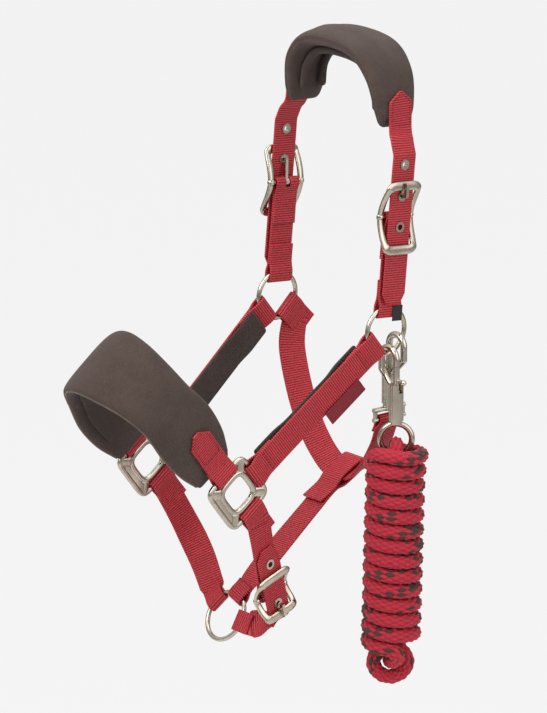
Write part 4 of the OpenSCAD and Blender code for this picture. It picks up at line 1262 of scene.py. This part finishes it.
@dataclass
class Studio:
    """Pale floor and backdrop, soft lamps, and the camera of the photograph."""

    azimuth: float = -39.0
    elevation: float = 16.0
    distance: float = 7000.0
    lens: float = 398.3
    aim: tuple = (-51.0, -39.0)
    floor_z: float = -800.0

    def axes(self) -> tuple[Array, Array, Array]:
        """Right, up and back directions of the camera."""
        a, e = math.radians(self.azimuth), math.radians(self.elevation)
        back = vec(math.sin(a) * math.cos(e), -math.cos(a) * math.cos(e), math.sin(e))
        right = vec(math.cos(a), math.sin(a), 0)
        return right, np.cross(back, right), back

    def camera(self) -> None:
        """Sets the camera: the point midway between the upper rings is placed as in the photograph."""
        right, up, back = self.axes()
        target = RING_AT * (1, 0, 1) + right * self.aim[0] + up * self.aim[1]
        data = bpy.data.cameras.new("photo_camera")
        data.lens = self.lens
        data.sensor_width = 36.0
        data.clip_start, data.clip_end = 0.05, 50
        obj = bpy.data.objects.new("photo_camera", data)
        turn = Matrix(np.column_stack([right, up, back]).tolist()).to_4x4()
        obj.matrix_world = Matrix.Translation((target + back * self.distance) * MM) @ turn
        bpy.context.scene.collection.objects.link(obj)
        bpy.context.scene.camera = obj

    def lamp(self, name: str, at: Array, size: float, power: float) -> None:
        """A square area lamp that looks at the middle of the object."""
        data = bpy.data.lights.new(name, "AREA")
        data.size = size
        data.energy = power
        obj = bpy.data.objects.new(name, data)
        look = Vector(((RING_AT * (1, 0, 1) + vec(-100, 0, -50)) - at) * MM)
        turn = look.to_track_quat("-Z", "Y").to_matrix().to_4x4()
        obj.matrix_world = Matrix.Translation(Vector(at * MM)) @ turn
        bpy.context.scene.collection.objects.link(obj)

    def floor(self) -> None:
        """Wide pale floor under the object, which keeps its soft shadow."""
        s = np.linspace(-12000, 12000, 9)
        x, y = np.meshgrid(s, s, indexing="ij")
        points = np.stack([x, y, np.full_like(x, self.floor_z)], -1).reshape(-1, 3) * MM
        mesh = bpy.data.meshes.new("studio_floor")
        mesh.from_pydata(points, [], [tuple(f[::-1]) for f in grid_faces(9, 9, closed=False).tolist()])
        n = Nodes(bpy.data.materials.new("pale_studio_floor"))
        matt = n.add("BsdfDiffuse", {"Color": linear(PALE)}).outputs[0]
        glow = n.add("Emission", {"Color": linear(PALE), "Strength": 1.0}).outputs[0]
        share = n.math("MULTIPLY", n.add("LightPath").outputs["Is Camera Ray"], 0.96)
        n.add("OutputMaterial", {"Surface": n.blend(share, matt, glow)})
        mesh.materials.append(n.owner)
        obj = bpy.data.objects.new("studio_floor", mesh)
        bpy.context.scene.collection.objects.link(obj)

    def world(self) -> None:
        """Even soft sky light; the camera sees the pale backdrop, and metal sees it darken downwards."""
        n = Nodes(bpy.data.worlds.new("studio_world"))

        def sky(colour: Sequence[float], strength: Level) -> Socket:
            """Light of one colour from all round."""
            return n.add("Background", {"Color": colour, "Strength": strength}).outputs[0]

        ray = n.add("LightPath").outputs
        height = n.add("SeparateXYZ", {0: n.add("TexCoord").outputs["Generated"]}).outputs[2]
        backdrop = sky(linear(PALE), n.ranged(height, -0.35, 0.6, 0.04, 1.05))
        soft = n.blend(ray["Is Glossy Ray"], sky((1, 1, 1, 1), 0.33), backdrop)
        clear = n.math("MAXIMUM", ray["Is Camera Ray"], ray["Is Transmission Ray"])
        n.add("OutputWorld", {"Surface": n.blend(clear, soft, sky(linear(PALE), 1.0))})
        bpy.context.scene.world = n.owner

    def build(self) -> None:
        """Makes the stage, lamps and camera."""
        self.camera()
        self.floor()
        self.world()
        right, up, back = self.axes()
        middle = RING_AT * (1, 0, 1) + vec(-80, 0, -50)
        self.lamp("key_lamp", middle + right * -900 + up * 900 + back * 1100, 1.1, 22)
        self.lamp("fill_lamp", middle + right * 1200 + up * 300 + back * 900, 1.4, 9)
        self.lamp("top_lamp", middle + vec(0, 0, 1500), 1.2, 12)
        bpy.context.scene.view_settings.view_transform = "Standard"


@dataclass
class Castings:
    """Cast metal with the round edges that tumbling leaves: the squares and the buckle frames."""

    cloths: Cloths
    points: int = 300
    outer_wide: float = SQUARE_BAR[0]
    square_thick: float = SQUARE_BAR[1]
    inner_bar: float = 15.1
    inner_wide: float = 5.4
    web_reach: tuple[float, float] = (13.0, 22.5)
    web_wide: float = 9.5
    solid_side: float = 19.4
    plate_half: float = 16.0
    plate_wide: float = 8.0
    plate_thick: float = 2.8
    rail_at: float = 17.0
    rail: float = 6.0
    end_bar: float = 8.4
    thick: float = 3.6
    stand: float = 9.5
    boss_half: float = 3.4
    boss_r: float = BAR_R + 0.9
    window_corner: float = 3.6

    def loop(self, path: Array, wide: Array, thick: float) -> Surface:
        """A closed bar of rounded section along a loop in its own X-Z plane, with Y as its thickness."""
        t = unit(np.roll(path, -1, 0) - np.roll(path, 1, 0))
        across = unit(np.cross(t, vec(0, 1, 0)))
        up = np.cross(across, t)
        q = np.linspace(0, 2 * math.pi, 32, endpoint=False)
        x = wide[:, None] / 2 * power(np.cos(q), 0.75)
        y = np.broadcast_to(thick / 2 * power(np.sin(q), 0.75), x.shape)
        rings = path[:, None] + across[:, None] * x[..., None] + up[:, None] * y[..., None]
        n, m = rings.shape[:2]
        faces = [tuple(k % (n * m) for k in f) for f in grid_faces(n + 1, m).tolist()]
        return Surface(rings.reshape(-1, 3), faces)

    def outline(self, half_x: float, half_z: float, corner: float = 7.0) -> Array:
        """Even points of a round-cornered rectangle in the X-Z plane; a large corner number is sharper."""
        a = np.linspace(0, 2 * math.pi, 4001)
        flat = np.column_stack([half_x * power(np.cos(a), 2 / corner), half_z * power(np.sin(a), 2 / corner)])
        run = travelled(flat)
        even = np.linspace(0, run[-1], self.points, endpoint=False)
        x, z = (np.interp(even, run, flat[:, k]) for k in (0, 1))
        return np.column_stack([x, 0 * x, z])

    def square(self) -> Surface:
        """A cast square: an outer and an inner loop, joined at the corners and along the solid side."""
        count = np.ones(self.points)
        outer = self.outline(SQUARE_BAR_OUT, SQUARE_BAR_OUT)
        inner = self.outline(self.inner_bar, self.inner_bar, self.window_corner)
        whole = self.loop(outer, self.outer_wide * count, self.square_thick)
        whole = whole.joined(self.loop(inner, self.inner_wide * count, self.square_thick))
        s = np.linspace(*self.web_reach, 24)[:, None]
        thick = self.square_thick - 0.1
        for x, z in ((1, 1), (1, -1), (-1, 1), (-1, -1)):
            whole = whole.joined(cushion(vec(x, 0, z) * s, vec(x, 0, -z), self.web_wide, thick, 0.7, 2, 0.0,
                                         sides=32))
        s = np.linspace(-self.plate_half, self.plate_half, 40)
        plate = np.column_stack([s, 0 * s, np.full(40, -self.solid_side)])
        whole = whole.joined(cushion(plate, vec(0, 0, 1), self.plate_wide, self.plate_thick, 0.5, 2, 0.0,
                                     sides=32))
        whole.points = SQUARE_AT + whole.points @ np.array([NOSE_DIR, OUT, FACE_DIR])
        return whole

    def bowed(self, bar: Array, side: Array, out: Array, half: float) -> Surface:
        """A buckle frame: a bowed loop of rounded metal that widens to its end bars, and its middle bar.

        Args:
            bar: Middle of the bar that the strap folds on.
            side: Direction across the strap.
            out: Direction away from the horse.
            half: Half the frame's length.

        Returns:
            The closed surface.
        """
        end = half - self.end_bar / 2
        loop = self.outline(self.rail_at, end)
        rise = np.abs(loop[:, 2]) / end
        loop[:, 1] = self.stand * np.clip(rise / 0.9, 0, 1) ** 1.6
        wide = self.rail + (self.end_bar - self.rail) * ease((rise - 0.78) / 0.18)
        ends = np.linspace(-self.rail_at, self.rail_at, 60)
        middle = tube(np.column_stack([ends, 0 * ends, 0 * ends]), BAR_R, 24)
        whole = self.loop(loop, wide, self.thick).joined(middle)
        for k in (-1, 1):
            boss = np.linspace(k * self.rail_at - self.boss_half, k * self.rail_at + self.boss_half, 24)
            whole = whole.joined(tube(np.column_stack([boss, 0 * boss, 0 * boss]), self.boss_r, 24))
        whole.points = bar + whole.points @ np.array([side, out, np.cross(side, out)])
        return whole

    def build(self) -> None:
        """Makes the squares and the buckle frames."""
        near = self.square()
        crown = self.bowed(BAR_AT, CROWN_SIDE, OUT, Crown.buckle_half)
        chin = Chin(self.cloths, Webbing(), Stitching())
        low = self.bowed(chin.bar, chin.side, chin.face, chin.buckle_half)
        for node, surface, body in (("near_buckle_frame", crown, Body.CROWN),
                                    ("off_buckle_frame", crown.across(), Body.CROWN),
                                    ("chin_buckle_frame", low, Body.FACE), ("near_square", near, Body.FACE),
                                    ("off_square", near.across(), Body.FACE)):
            piece(f"{node}_cast", surface, self.cloths.metal, body.value, [node])


METAL_NODES = (
    "near_eyelets", "off_eyelets", "near_buckle_tongue", "off_buckle_tongue", "near_upper_ring",
    "off_upper_ring", "chin_eyelets", "chin_buckle_tongue", "chin_ring", "throat_clip_body",
    "throat_clip_bolt", "throat_clip_eye", "hook_body", "hook_bolt", "swivel_eye",
)


def dress(nodes: Sequence[str], material: bpy.types.Material) -> None:
    """Gives CAD nodes that keep their shape a finish."""
    for name in nodes:
        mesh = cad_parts[name].data
        mesh.materials.clear()
        mesh.materials.append(material)
        LOG.info("%s keeps its solid", name)


def main() -> None:
    """Builds the sub-assemblies in order."""
    logging.basicConfig(level=logging.INFO)
    Studio().build()
    cloths = Cloths.made()
    web, sewing = Webbing(), Stitching()
    LeadRope(cloths).build()
    Crown(cloths, web, sewing).build()
    Face(cloths, web, sewing).build()
    Chin(cloths, web, sewing).build()
    Castings(cloths).build()
    dress(METAL_NODES, cloths.metal)
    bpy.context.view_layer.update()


if __name__ == "__main__":
    main()
